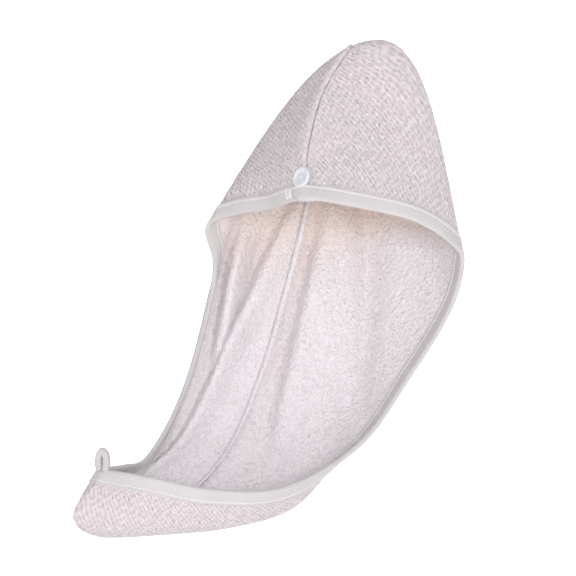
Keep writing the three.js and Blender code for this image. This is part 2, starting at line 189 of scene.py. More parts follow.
def waffleMaterial():
    settings = {"Roughness": 0.95, "Sheen Weight": 0.2, "Sheen Roughness": 0.45, "Specular IOR Level": 0.15}
    material, net, shader = newMaterial("waffle_towelling", settings)
    lattice = net.add("ShaderNodeUVMap")
    lattice.uv_map = "lattice"
    place = net.place()
    openness = net.attribute("openness")
    split = net.add("ShaderNodeSeparateXYZ")
    net.link(lattice.outputs["UV"], split.inputs["Vector"])
    stray = net.spread(net.noise(place, waffle["strayScale"], 1.0), 1.0, 0.0)
    rowAt = net.math("MULTIPLY_ADD", stray, waffle["strayOfRows"], split.outputs["X"])
    puffAt = net.math("MULTIPLY_ADD", stray, waffle["strayOfPuffs"], split.outputs["Y"])
    rows = net.cosine(rowAt)
    puffs = net.cosine(puffAt)
    rowPart = net.math("MULTIPLY", rows, waffle["rowShare"] / 2)
    height = net.math("MULTIPLY_ADD", puffs, waffle["puffShare"] / 2, rowPart)
    raised = net.math("ADD", height, 0.5)
    domed = net.math("SQRT", net.math("MAXIMUM", raised, 0.0))
    # each puff is a little fuller or flatter than the next
    fullness = net.noise(lattice.outputs["UV"], waffle["fullnessScale"], 0.0)
    fullness = net.spread(fullness, waffle["fullnessGain"], waffle["fullnessMiddle"])
    domed = net.math("MULTIPLY", net.math("MULTIPLY", domed, fullness), openness)
    fuzz = net.noise(place, waffle["fuzzScale"], 3.0, 0.65)
    clumps = net.noise(place, waffle["clumpScale"], 2.0)
    coarse = net.bump(domed, waffle["relief"])
    soft = net.bump(clumps, waffle["clumpRelief"], under=coarse)
    fine = net.bump(fuzz, waffle["fuzz"], under=soft)
    net.link(fine, shader.inputs["Normal"])
    grain = net.spread(fuzz, waffle["grainGain"], 0.0)
    # painted shade: the colour runs from the puff colour on the domed tops to a dark colour in the hollows
    # between puffs, with a random grain over it
    shade = net.math("MULTIPLY_ADD", domed, waffle["hollowShadeShare"], waffle["shadeBase"])
    shade = net.math("ADD", shade, grain)
    plain = net.math("SUBTRACT", 1.0, openness)
    waffled = net.mix(shade, waffle["paintedHollowShade"], waffle["puffColour"])
    whole = net.mix(plain, waffle["puffColour"], waffle["rollColour"])
    net.link(waffled, whole.node.inputs[6])
    net.link(whole, shader.inputs["Base Color"])
    return material


# Inner face: short dense pile, with a warm, darker painted shade in its deep folds and under the brow
pile = {
    "deepColour": (0.62, 0.570, 0.588),
    "tipColour": (0.86, 0.812, 0.835),
    "paintedShadeTint": (1.02, 0.90, 0.79),
    "relief": 0.0016,
    "loopScale": 560.0,
    "clumpScale": 240.0,
    "clumpRelief": 0.0024,
    "toneScale": 26.0,
    "loopGain": 1.5,
    "clumpGain": 0.7,
    "toneGain": 0.35,
    "toneMiddle": 0.08,
}


def pileMaterial():
    settings = {"Roughness": 0.95, "Sheen Weight": 0.25, "Sheen Roughness": 0.4, "Specular IOR Level": 0.15}
    material, net, shader = newMaterial("pile_towelling", settings)
    place = net.place()
    loops = net.noise(place, pile["loopScale"], 2.0, 0.6)
    clumps = net.noise(place, pile["clumpScale"], 2.0)
    tone = net.noise(place, pile["toneScale"], 2.0)
    soft = net.bump(clumps, pile["clumpRelief"])
    fine = net.bump(loops, pile["relief"], under=soft)
    net.link(fine, shader.inputs["Normal"])
    shade = net.spread(loops, pile["loopGain"], 0.5)
    shade = net.math("ADD", shade, net.spread(clumps, pile["clumpGain"], 0.0))
    toneShade = net.spread(tone, pile["toneGain"], pile["toneMiddle"])
    shade = net.math("ADD", shade, toneShade)
    cool = net.mix(shade, pile["deepColour"], pile["tipColour"])
    # painted shade: the base colour is multiplied warmer and darker in fold valleys and under the brow, by
    # the shade attribute made with the panels
    tint = net.mix(net.attribute("paintedShade"), (1.0, 1.0, 1.0), pile["paintedShadeTint"])
    product = net.add("ShaderNodeMix")
    product.data_type = "RGBA"
    product.blend_type = "MULTIPLY"
    product.inputs[0].default_value = 1.0
    net.link(cool, product.inputs[6])
    net.link(tint, product.inputs[7])
    net.link(product.outputs[2], shader.inputs["Base Color"])
    return material


# Binding tape: a close twill weave. Its UV map is in metres along and across the tape.
twill = {
    "darkColour": (0.46, 0.430, 0.428),
    "lightColour": (0.585, 0.553, 0.546),
    "threads": 1500.0,
    "relief": 0.00012,
    "angle": 58.0,
    "distortion": 1.2,
    "slubScale": 420.0,
    "slubRelief": 0.0004,
    "toneScale": 35.0,
    "toneShare": 0.7,
    "ribShare": 0.3,
}


def tapeMaterial(name):
    settings = {"Roughness": 0.8, "Sheen Weight": 0.15, "Sheen Roughness": 0.35, "Specular IOR Level": 0.3}
    material, net, shader = newMaterial(name, settings)
    weave = net.add("ShaderNodeUVMap")
    weave.uv_map = "weave"
    place = net.place()
    turn = net.add("ShaderNodeMapping")
    turn.inputs["Rotation"].default_value = (0, 0, math.radians(twill["angle"]))
    net.link(weave.outputs["UV"], turn.inputs["Vector"])
    ribs = net.add("ShaderNodeTexWave")
    ribs.inputs["Scale"].default_value = twill["threads"] / (2 * math.pi)
    ribs.inputs["Distortion"].default_value = twill["distortion"]
    ribs.inputs["Detail"].default_value = 1.0
    net.link(turn.outputs["Vector"], ribs.inputs["Vector"])
    slubs = net.noise(place, twill["slubScale"], 3.0)
    tone = net.noise(place, twill["toneScale"], 2.0)
    base = net.bump(slubs, twill["slubRelief"])
    weaveBump = net.bump(ribs.outputs["Fac"], twill["relief"], under=base)
    net.link(weaveBump, shader.inputs["Normal"])
    ribShade = net.math("MULTIPLY", ribs.outputs["Fac"], twill["ribShare"])
    shade = net.math("MULTIPLY_ADD", tone, twill["toneShare"], ribShade)
    colour = net.mix(shade, twill["darkColour"], twill["lightColour"])
    net.link(colour, shader.inputs["Base Color"])
    return material


yarn = {"twistScale": 1800.0, "twistRelief": 0.0002}


def threadMaterial(name, dark, light):
    settings = {"Roughness": 0.7, "Sheen Weight": 0.2, "Specular IOR Level": 0.3}
    material, net, shader = newMaterial(name, settings)
    place = net.place()
    twist = net.noise(place, yarn["twistScale"], 2.0)
    net.link(net.bump(twist, yarn["twistRelief"]), shader.inputs["Normal"])
    net.link(net.mix(twist, dark, light), shader.inputs["Base Color"])
    return material


# Button: bluish white plastic that lets a little light through
plastic = {
    "darkColour": (0.53, 0.54, 0.575),
    "lightColour": (0.68, 0.69, 0.72),
    "cloudScale": 160.0,
    "scuffScale": 900.0,
    "scuffRelief": 0.00003,
}


def buttonMaterial():
    settings = {
        "Roughness": 0.16,
        "IOR": 1.5,
        "Subsurface Weight": 0.35,
        "Subsurface Radius": (0.004, 0.004, 0.005),
        "Subsurface Scale": 1.0,
        "Coat Weight": 0.4,
        "Coat Roughness": 0.08,
    }
    material, net, shader = newMaterial("button_plastic", settings)
    place = net.place()
    cloud = net.noise(place, plastic["cloudScale"], 3.0)
    scuffs = net.noise(place, plastic["scuffScale"], 2.0)
    colour = net.mix(cloud, plastic["darkColour"], plastic["lightColour"])
    net.link(colour, shader.inputs["Base Color"])
    net.link(net.bump(scuffs, plastic["scuffRelief"]), shader.inputs["Normal"])
    return material


waffleCloth = waffleMaterial()
pileCloth = pileMaterial()
tapeCloth = tapeMaterial("binding_tape")
whiteThread = threadMaterial("white_thread", (0.80, 0.785, 0.78), (0.93, 0.92, 0.91))
buttonCotton = threadMaterial("button_cotton", (0.66, 0.66, 0.67), (0.82, 0.82, 0.82))
buttonPlastic = buttonMaterial()
print("materials made")


# The towel's own shape: the CAD source's sections and folds, with folds that stand a little higher
towel = {
    "width": 0.370,
    "depth": 0.190,
    "height": 0.470,
    "thickness": 0.0026,
    "foldHeight": 0.0145,
    "foldWidth": 0.030,
    "seat": (0.72, 0.6, 0.05),
    "tapeWidth": 0.012,
    "tapeLap": 0.013,
    "gap": 0.0003,
}

sectionColumns = ("seam", "leftBelly", "leftRim", "rightBelly", "rightRim", "fullness")
sectionRows = [
    ((0.585, 0.150, 0.319), (0.585, 0.150, 0.319), (0.585, 0.150, 0.319),
     (0.585, 0.150, 0.319), (0.585, 0.150, 0.319), 0.9),
    ((0.595, 0.230, 0.225), (0.495, 0.350, 0.245), (0.495, 0.400, 0.335),
     (0.715, 0.230, 0.230), (0.700, 0.185, 0.331), 0.9),
    ((0.635, 0.340, 0.105), (0.495, 0.480, 0.165), (0.396, 0.560, 0.345),
     (0.836, 0.370, 0.105), (0.868, 0.290, 0.360), 0.9),
    ((0.715, 0.480, 0.005), (0.577, 0.550, 0.045), (0.333, 0.650, 0.370),
     (0.900, 0.480, -0.058), (0.975, 0.440, 0.410), 1.3),
    ((0.690, 0.740, 0.085), (0.460, 0.800, 0.140), (0.350, 0.725, 0.445),
     (0.880, 0.800, 0.050), (0.997, 0.520, 0.450), 0.9),
    ((0.610, 0.910, 0.270), (0.350, 0.910, 0.350), (0.330, 0.745, 0.545),
     (0.945, 1.010, 0.320), (0.965, 0.585, 0.545), 0.9),
    ((0.538, 0.930, 0.485), (0.315, 0.900, 0.550), (0.280, 0.720, 0.685),
     (0.820, 0.990, 0.555), (0.860, 0.570, 0.680), 0.9),
    ((0.473, 0.850, 0.665), (0.280, 0.840, 0.710), (0.225, 0.660, 0.785),
     (0.715, 0.890, 0.785), (0.730, 0.450, 0.815), 0.9),
    ((0.387, 0.690, 0.830), (0.220, 0.760, 0.845), (0.170, 0.550, 0.850),
     (0.672, 0.600, 0.995), (0.540, 0.175, 0.894), 0.9),
    ((0.268, 0.490, 0.935), (0.115, 0.575, 0.905), (0.130, 0.340, 0.853),
     (0.480, 0.250, 1.040), (0.360, 0.050, 0.895), 0.9),
    ((0.108, 0.270, 0.990), (0.018, 0.330, 0.945), (0.092, 0.220, 0.854),
     (0.200, 0.020, 1.000), (0.205, 0.040, 0.870), 0.9),
    ((0.016, 0.140, 0.955), (0.000, 0.200, 0.930), (0.076, 0.160, 0.855),
     (-0.005, 0.040, 0.955), (0.115, 0.055, 0.858), 0.9),
    ((0.072, 0.095, 0.856), (0.072, 0.095, 0.856), (0.072, 0.095, 0.856),
     (0.072, 0.095, 0.856), (0.072, 0.095, 0.856), 0.9),
]
sections = [dict(zip(sectionColumns, row)) for row in sectionRows]

foldColumns = ("side", "start", "end", "from", "to", "bow", "height", "steep", "gentle", "lean")
foldRows = [
    # side, run start and end, place from the seam at both ends, bow, height, widths, lean
    (-1, 0.38, 0.58, 0.52, 0.38, 0.04, 1.20, 0.22, 0.80, 0.20),
    (-1, 0.40, 0.56, 0.18, 0.34, 0.04, -0.35, 0.35, 0.35, 0.00),
    (-1, 0.38, 0.78, -0.12, 0.60, 0.16, 1.25, 0.26, 0.80, 0.15),
    (1, 0.40, 0.66, 0.05, 0.09, 0.00, -0.40, 0.25, 0.30, 0.00),
    (1, 0.38, 0.70, 0.08, 0.24, 0.02, 0.80, 0.25, 0.90, 0.10),
    (1, 0.37, 0.58, 0.10, 0.68, 0.00, -0.85, 0.35, 0.70, 0.00),
    (1, 0.60, 0.72, 0.14, 0.28, 0.00, -0.40, 0.60, 0.60, 0.00),
    (-1, 0.04, 0.27, 0.10, 0.04, 0.00, -0.25, 0.40, 0.20, 0.00),
    (1, 0.04, 0.13, 0.05, 0.40, 0.00, 0.12, 0.30, 0.30, 0.00),
]
folds = [dict(zip(foldColumns, row)) for row in foldRows]

# Rows of the tape's edge, steps for slopes, and how folds and the seam fade
lastSection = len(sections) - 1
cadRows = 46
step = 0.01
endMargin = 0.05
foldFade = 0.35
seamBlend = 0.08
rimFade = (0.04, 0.2)
onSide = 1e-9


def guide(name):
    shares = np.array([section[name] for section in sections])
    across, back, down = shares.T
    return np.stack([
        (across - towel["seat"][0]) * towel["width"],
        (back - towel["seat"][1]) * towel["depth"],
        (towel["seat"][2] - down) * towel["height"],
    ], axis=1)


def throughPoints(points, at, closed=False, clamped=False):
    # a smooth curve through the points, read at places counted in points
    at = np.asarray(at, float)
    count = len(points)
    if closed:
        index = np.floor(at).astype(int)
        p0, p1, p2, p3 = (points[(index + offset) % count] for offset in (-1, 0, 1, 2))
    else:
        index = np.clip(np.floor(at).astype(int), 0, count - 2)
        before = points[0] if clamped else 2 * points[0] - points[1]
        after = points[-1] if clamped else 2 * points[-1] - points[-2]
        padded = np.concatenate([before[None], points, after[None]])
        p0, p1, p2, p3 = (padded[index + offset] for offset in range(4))
    share = (at - index)[..., None]
    leaving = 0.5 * (p2 - p0)
    arriving = 0.5 * (p3 - p1)
    bend = 3 * (p2 - p1) - 2 * leaving - arriving
    return p1 + leaving * share + bend * share ** 2 + (leaving + arriving - 2 * (p2 - p1)) * share ** 3


guides = {name: guide(name) for name in sectionColumns[:-1]}
rimPoints = np.concatenate([guides["rightRim"], guides["leftRim"][::-1][1:-1]])
fullnesses = np.array([[section["fullness"]] for section in sections])


def mix(first, second, share):
    return first + (second - first) * share


def smoothStep(value, low, high):
    share = np.clip((value - low) / (high - low), 0, 1)
    return share * share * (3 - 2 * share)


def unit(vectors):
    return vectors / np.maximum(np.linalg.norm(vectors, axis=-1, keepdims=True), 1e-12)


def dot(first, second):
    return (first * second).sum(axis=-1, keepdims=True)


def lengthsAlong(points):
    # how far along a line of points each one lies
    return np.concatenate([[0], np.cumsum(np.linalg.norm(np.diff(points, axis=0), axis=1))])


def rimAt(station):
    return throughPoints(rimPoints, np.mod(station, 2 * lastSection), closed=True)


def smoothCloth(along, across):
    # outer face before folds: along counts sections, across runs from -1 over the seam to 1
    along, across = np.broadcast_arrays(np.asarray(along, float), np.asarray(across, float))
    share = np.abs(across)[..., None]
    isLeft = across < 0
    belly = np.where(
        isLeft[..., None],
        throughPoints(guides["leftBelly"], along),
        throughPoints(guides["rightBelly"], along),
    )
    rim = rimAt(np.where(isLeft, -along, along))
    fullness = throughPoints(fullnesses, along, clamped=True)
    parts = ((1 - share) ** 2, 2 * fullness * share * (1 - share), share ** 2)
    total = parts[0] + parts[1] + parts[2]
    return (throughPoints(guides["seam"], along) * parts[0] + belly * parts[1] + rim * parts[2]) / total


def directions(face, along, across, side):
    nearAlong = np.clip(along, endMargin, lastSection - endMargin)
    inner = np.where(side < 0, np.minimum(across, -step), np.maximum(across, step))
    middle = np.clip(inner, step - 1, 1 - step)
    alongWay = face(nearAlong + step, across) - face(nearAlong - step, across)
    acrossWay = face(nearAlong, middle + step) - face(nearAlong, middle - step)
    return unit(alongWay), unit(acrossWay), unit(np.cross(acrossWay, alongWay))


def foldShare(fold, along, across, ribLength):
    run = (along / lastSection - fold["start"]) / (fold["end"] - fold["start"])
    inside = np.clip(run, 0, 1)
    crest = mix(fold["from"], fold["to"], inside) + fold["bow"] * 4 * inside * (1 - inside)
    offset = (across - fold["side"] * crest) * ribLength / towel["foldWidth"]
    width = np.where(offset < 0, fold["steep"], fold["gentle"])
    fade = np.clip(np.minimum(inside, 1 - inside) / foldFade, 0, 1)
    atRim = smoothStep(1 - np.abs(across), *rimFade)
    return np.exp(-((offset / width) ** 2)) * fade * fade * (3 - 2 * fade) * atRim


def cloth(along, across):
    # outer face with its folds, which stand up towards the head
    along, across = np.broadcast_arrays(np.asarray(along, float), np.asarray(across, float))
    point = smoothCloth(along, across)
    side = np.where(across < 0, -1, 1)
    acrossWay, normal = directions(smoothCloth, along, across, across)[1:]
    seamLine = smoothCloth(along, 0 * along)
    ribs = {s: np.linalg.norm(seamLine - rimAt(s * along), axis=-1) for s in (-1, 1)}
    for fold in folds:
        share = foldShare(fold, along, across, ribs[fold["side"]])[..., None]
        point = point - normal * share * fold["height"] * towel["foldHeight"]
        point = point - acrossWay * share * fold["lean"] * towel["foldWidth"]
    return point


def normalAt(along, across, side):
    own = directions(cloth, along, across, side)[2]
    left = directions(cloth, along, 0 * across, -1)[2]
    right = directions(cloth, along, 0 * across, 1)[2]
    share = smoothStep(np.abs(across), 0, seamBlend)[..., None]
    return unit(mix(unit(left + right), own, share))


def nearest(target, along, across, side):
    # the place on the smooth cloth nearest to each target, on one side of the seam
    for _ in range(12):
        inner = np.clip(np.abs(across), step, 1 - step) * side
        middle = np.clip(along, step, lastSection - step)
        missing = target - smoothCloth(along, across)
        byAlong = smoothCloth(middle + step, across) - smoothCloth(middle - step, across)
        byAcross = smoothCloth(middle, inner + step) - smoothCloth(middle, inner - step)
        pairs = ((byAlong, byAlong), (byAcross, byAcross), (byAlong, byAcross))
        aa, bb, ab = (dot(*pair)[..., 0] for pair in pairs)
        ra, rb = (dot(way, missing)[..., 0] for way in (byAlong, byAcross))
        scale = 2 * step / np.maximum(aa * bb - ab * ab, 1e-21)
        along = np.clip(along + (ra * bb - rb * ab) * scale, 0, lastSection)
        across = side * np.clip((across + (rb * aa - ra * ab) * scale) * side, 0, 1)
    return along, across


def seamPlace(distance, fromTail):
    # the section place on the seam at a distance from the brow end or the tail end
    end = lastSection if fromTail else 0
    places = np.abs(end - np.linspace(0, 2, 4001))
    reach = np.linalg.norm(throughPoints(guides["seam"], places) - guides["seam"][end], axis=1)
    return places[np.argmax(reach >= distance)]


browPlace = seamPlace(towel["tapeWidth"], False)
tailPlace = seamPlace(towel["tapeWidth"], True)
lapStations = np.arange(0, 2, 0.001)
lapReach = np.linalg.norm(rimAt(-lapStations) - rimAt(0.0), axis=1)
lapStation = lapStations[np.argmax(lapReach >= towel["tapeLap"])]


def stationAt(row):
    return np.where(row < 1, lapStation * row, mix(lapStation, lastSection, (row - 1) / (cadRows - 1)))


def tapeEdge(row, side):
    # the place on the cloth under the free edge of the tape, square to the rim
    inner = np.clip(row, 1, cadRows - 1)
    station = stationAt(inner)
    rim = rimAt(side * station)
    way = unit(rimAt(side * (station + step)) - rimAt(side * (station - step)))
    inward = smoothCloth(station, side * (1 - step)) - rim
    inward = unit(inward - way * dot(inward, way))
    ribLength = np.linalg.norm(smoothCloth(station, 0 * station) - rim, axis=-1)
    startAcross = side * np.maximum(0.2, 1 - towel["tapeWidth"] / ribLength)
    along, across = nearest(rim + inward * towel["tapeWidth"], station, startAcross, side)
    beforeFirst = np.clip(row, 0, 1)
    afterLast = np.clip(cadRows - row, 0, 1)
    along = mix(browPlace, along, beforeFirst)
    along = mix(tailPlace, along, afterLast)
    return along, across * beforeFirst * afterLast


def tapeStrip(side, row, depth):
    # points and normals of the outer face under the tape: depth 0 at the rim, 1 at its free edge
    inner = np.clip(row, 1, cadRows - 1)
    station = stationAt(inner)
    edgeAlong, edgeAcross = tapeEdge(inner, side)
    along = mix(station[:, None], edgeAlong[:, None], depth[None])
    across = mix(float(side), edgeAcross[:, None], depth[None])
    points = cloth(along, across)
    normals = normalAt(along, across, side)
    rim = rimAt(side * stationAt(row))
    for isEnd, weight, endPlace, endStation, nextRow in (
        (row < 1, 1 - row, browPlace, 0.0, 1),
        (row > cadRows - 1, row - (cadRows - 1), tailPlace, float(lastSection), cadRows - 1),
    ):
        if not isEnd.any():
            continue
        endAlong = mix(endStation, endPlace, depth)
        endPoints = cloth(endAlong, 0 * depth)
        endNormals = normalAt(endAlong, 0 * depth, side)
        share = weight[isEnd][:, None, None]
        nextRim = rimAt(side * stationAt(np.array([float(nextRow)])))
        straight = mix(nextRim, rimAt(side * endStation)[None], weight[isEnd][:, None])
        bulge = (rim[isEnd] - straight)[:, None] * (1 - depth)[None, :, None]
        points[isEnd] = mix(points[isEnd], endPoints[None], share) + bulge
        normals[isEnd] = unit(mix(normals[isEnd], endNormals[None], share))
    return points, normals


# Meshes
def meshPiece(name, points, faces, materials, faceMaterials=None, uvName=None, uvs=None, smooth=True):
    mesh = bpy.data.meshes.new(name)
    mesh.from_pydata([tuple(point) for point in points], [], [tuple(face) for face in faces])
    for material in materials:
        mesh.materials.append(material)
    if faceMaterials is not None:
        mesh.polygons.foreach_set("material_index", np.asarray(faceMaterials, np.int32))
    if uvs is not None:
        layer = mesh.uv_layers.new(name=uvName)
        corners = np.zeros(len(mesh.loops), np.int32)
        mesh.loops.foreach_get("vertex_index", corners)
        layer.data.foreach_set("uv", np.asarray(uvs, np.float32)[corners].ravel())
    mesh.polygons.foreach_set("use_smooth", np.full(len(mesh.polygons), smooth))
    mesh.validate()
    mesh.update()
    piece = bpy.data.objects.new(name, mesh)
    bpy.context.scene.collection.objects.link(piece)
    return piece


def skinFaces(count, ring):
    # quads between neighbouring rings of points, and the two end caps
    index = np.arange(count * ring).reshape(count, ring)
    following = np.roll(index, -1, axis=1)
    quads = np.stack([index[:-1], index[1:], following[1:], following[:-1]], axis=-1).reshape(-1, 4)
    return quads, [tuple(index[0]), tuple(index[-1][::-1])]


def gridUvs(along, around):
    return np.stack(np.broadcast_arrays(along[:, None], around[None, :]), axis=-1).reshape(-1, 2)


def ladder(first, second, firstPlaces, secondPlaces):
    # triangles between two rows of points that have different counts
    faces = []
    i = 0
    j = 0
    while i < len(first) - 1 or j < len(second) - 1:
        if j == len(second) - 1 or (i < len(first) - 1 and firstPlaces[i + 1] <= secondPlaces[j + 1]):
            faces.append((first[i], first[i + 1], second[j]))
            i += 1
        else:
            faces.append((first[i], second[j + 1], second[j]))
            j += 1
    return faces


pattern = {
    "rows": 93,
    "shares": 21,
    "middleRow": 46,
    # grid places that give the way of the seam, and the way from it to the rim
    "seamRows": (1, 11),
    "sidePlace": (40, 10),
    "turnStep": 2,
}


def flatPattern(side):
    # the panel laid flat: a coarse grid is unfolded, and its corners give flat places in metres
    rows = np.linspace(0.5, cadRows - 0.5, pattern["rows"])
    shares = np.linspace(0, 1, pattern["shares"])
    start = mix(browPlace, tailPlace, rows / cadRows)
    edgeAlong, edgeAcross = tapeEdge(rows, side)
    along = mix(start[:, None], edgeAlong[:, None], shares)
    across = edgeAcross[:, None] * shares
    points = smoothCloth(along, np.where(across == 0, side * onSide, across))
    index = np.arange(points.shape[0] * points.shape[1]).reshape(points.shape[:2])
    faces = np.stack([index[:-1, :-1], index[1:, :-1], index[1:, 1:], index[:-1, 1:]], axis=-1).reshape(-1, 4)
    noPlaces = np.zeros((index.size, 2))
    sheet = meshPiece("flat_pattern", points.reshape(-1, 3), faces, [], uvName="flat", uvs=noPlaces)
    bpy.ops.object.select_all(action="DESELECT")
    sheet.select_set(True)
    bpy.context.view_layer.objects.active = sheet
    bpy.ops.object.mode_set(mode="EDIT")
    bpy.ops.mesh.select_all(action="SELECT")
    bpy.ops.uv.unwrap(method="ANGLE_BASED", margin=0.0)
    bpy.ops.object.mode_set(mode="OBJECT")
    loops = sheet.data.loops
    corners = np.zeros(len(loops), np.int32)
    loops.foreach_get("vertex_index", corners)
    read = np.zeros(len(loops) * 2, np.float32)
    sheet.data.uv_layers["flat"].data.foreach_get("uv", read)
    flat = np.zeros((index.size, 2))
    flat[corners] = read.reshape(-1, 2)
    quads = flat[faces]
    ring = np.roll(quads, -1, axis=1)
    flatArea = abs((quads[..., 0] * ring[..., 1] - quads[..., 1] * ring[..., 0]).sum() / 2)
    realArea = sum(face.area for face in sheet.data.polygons)
    flat = flat * math.sqrt(realArea / flatArea)
    bpy.data.objects.remove(sheet)
    flat = flat.reshape(len(rows), len(shares), 2)
    first, second = pattern["seamRows"]
    seamWay = unit(flat[second, 0] - flat[first, 0])
    acrossWay = np.array([-seamWay[1], seamWay[0]])
    sideRow, sideShare = pattern["sidePlace"]
    if dot(flat[sideRow, sideShare] - flat[sideRow, 0], acrossWay)[0] * side < 0:
        acrossWay = -acrossWay
    middle = flat[pattern["middleRow"], 0]
    flat = np.stack([(flat - middle) @ acrossWay, (flat - middle) @ seamWay], axis=-1)
    return rows, shares, flat


def readGrid(rows, shares, values, atRow, atShare):
    # bilinear reading of a coarse grid, carried on past its ends
    r = (atRow - rows[0]) / (rows[1] - rows[0])
    c = (atShare - shares[0]) / (shares[1] - shares[0])
    i = np.clip(np.floor(r).astype(int), 0, len(rows) - 2)
    j = np.clip(np.floor(c).astype(int), 0, len(shares) - 2)
    r = (r - i)[..., None]
    c = (c - j)[..., None]
    low = mix(values[i, j], values[i, j + 1], c)
    high = mix(values[i + 1, j], values[i + 1, j + 1], c)
    return mix(low, high, r)


# Towelling panels
panels = {
    "rowPitch": 0.0037,
    "puffPitch": 0.0054,
    "rowAngle": 52.0,
    "puffAngle": -22.0,
    "drift": 0.45,
    "slowDrift": 0.03,
    "quickDrift": 0.009,
    "quickShare": 0.4,
    "relief": 0.00065,
    "puffMiddle": 0.6,
    "pressed": 0.0003,
    "pressFade": 0.0025,
    "rollFade": (-0.002, 0.004),
    "softFade": (-0.001, 0.003),
    # soft lumps of the inner face: size, seed, height
    "lumps": ((0.006, 9, 0.0005), (0.0025, 12, 0.0003)),
    "shortestRow": 0.02,
    "seamDip": 0.0005,
    "seamDipWidth": 0.0015,
    "seamOpenness": 0.75,
    "seamRoll": {-1: 0.0020, 1: 0.0006},
    "seamRollPlace": 0.0032,
    "seamRollWidth": 0.0021,
    "openFrom": {-1: 0.0045, 1: 0.0010},
    "openTo": {-1: 0.0080, 1: 0.0050},
    "hollowReach": 0.012,
    "stripColumns": 4,
    -1: {"name": "left_towelling", "node": "left_panel", "rows": 640, "spacing": 0.00125},
    1: {"name": "right_towelling", "node": "right_panel", "rows": 680, "spacing": 0.00128},
}


def wobble(points, size, seed):
    # smooth seeded noise at each point
    offset = Vector((seed * 7.31, seed * 3.17, seed * 5.93))
    return np.array([noise.noise(Vector(point) / size + offset) for point in points])


# Where painted shade falls on the pile: in folds, and under the brow down to a line that falls to the left,
# weaker on the left
paintedShadeZones = {
    "foldShade": 0.22,
    "foldDepth": (0.0008, 0.0060),
    "shortestRow": 0.03,
    "browTop": -0.135,
    "lowest": (-0.215, -0.170),
    "lowestFrom": (-0.06, 0.02),
    "leftShare": 0.7,
    "leftReach": 0.06,
}


def paintedShadeOf(points, normals, start, edgeAlong, edgeAcross, share):
    # how strongly painted shade falls on each inner place, from how deep it lies in a fold or under the brow,
    # from 0 to 1
    edge = np.linalg.norm(cloth(edgeAlong, edgeAcross) - cloth(start, 0 * start + onSide), axis=1)
    offset = panels["hollowReach"] / np.maximum(edge, paintedShadeZones["shortestRow"])
    mean = np.zeros_like(points)
    for turn in (-1, 1):
        near = np.clip(share + turn * offset, 0.0, 1.0)
        nearAcross = edgeAcross * near + onSide * np.sign(edgeAcross)
        mean = mean + cloth(mix(start, edgeAlong, near), nearAcross) / 2
    centre = cloth(mix(start, edgeAlong, np.minimum(share, 1)), edgeAcross * np.minimum(share, 1))
    depth = -((mean - centre) * normals).sum(axis=1)
    lowest = mix(*paintedShadeZones["lowest"], smoothStep(points[:, 0], *paintedShadeZones["lowestFrom"]))
    underBrow = np.clip((points[:, 2] - lowest) / (paintedShadeZones["browTop"] - lowest), 0, 1)
    leftward = smoothStep(-points[:, 0], 0.0, paintedShadeZones["leftReach"])
    underBrow = underBrow * mix(1.0, paintedShadeZones["leftShare"], leftward)
    inFold = paintedShadeZones["foldShade"] * smoothStep(depth, *paintedShadeZones["foldDepth"])
    return np.clip(inFold + underBrow, 0, 1)


def driftOf(points, size, seeds):
    return np.stack([wobble(points, size, seed) for seed in seeds], axis=1)


def latticeAt(points, flat, side):
    # which row and puff of the waffle each point lies on, with a slow and a quick drift
    drift = driftOf(points, panels["slowDrift"], (1 + side, 4 + side))
    drift = drift + driftOf(points, panels["quickDrift"], (6 + side, 8 + side)) * panels["quickShare"]
    turns = np.radians([panels["rowAngle"], panels["puffAngle"]])
    ways = np.stack([np.cos(turns), np.sin(turns)])
    return flat @ ways / np.array([panels["rowPitch"], panels["puffPitch"]]) + drift * panels["drift"]


def outerLift(side, lattice, reach, toEdge, openness):
    # how far the waffle, the pressed edge and the seam raise or lower the outer face
    height = 0.5 + waffle["rowShare"] / 2 * np.cos(2 * np.pi * lattice[:, 0])
    height = height + waffle["puffShare"] / 2 * np.cos(2 * np.pi * lattice[:, 1])
    height = np.sqrt(np.maximum(height, 0)) - panels["puffMiddle"]
    lift = height * panels["relief"] * 2 * openness
    lift = lift - panels["pressed"] * (1 - smoothStep(toEdge, 0, panels["pressFade"]))
    fromRoll = (reach - panels["seamRollPlace"]) / panels["seamRollWidth"]
    roll = panels["seamRoll"][side] * np.exp(-fromRoll ** 2)
    dip = panels["seamDip"] * np.exp(-(reach / panels["seamDipWidth"]) ** 2)
    return lift + (roll - dip) * smoothStep(toEdge, *panels["rollFade"])


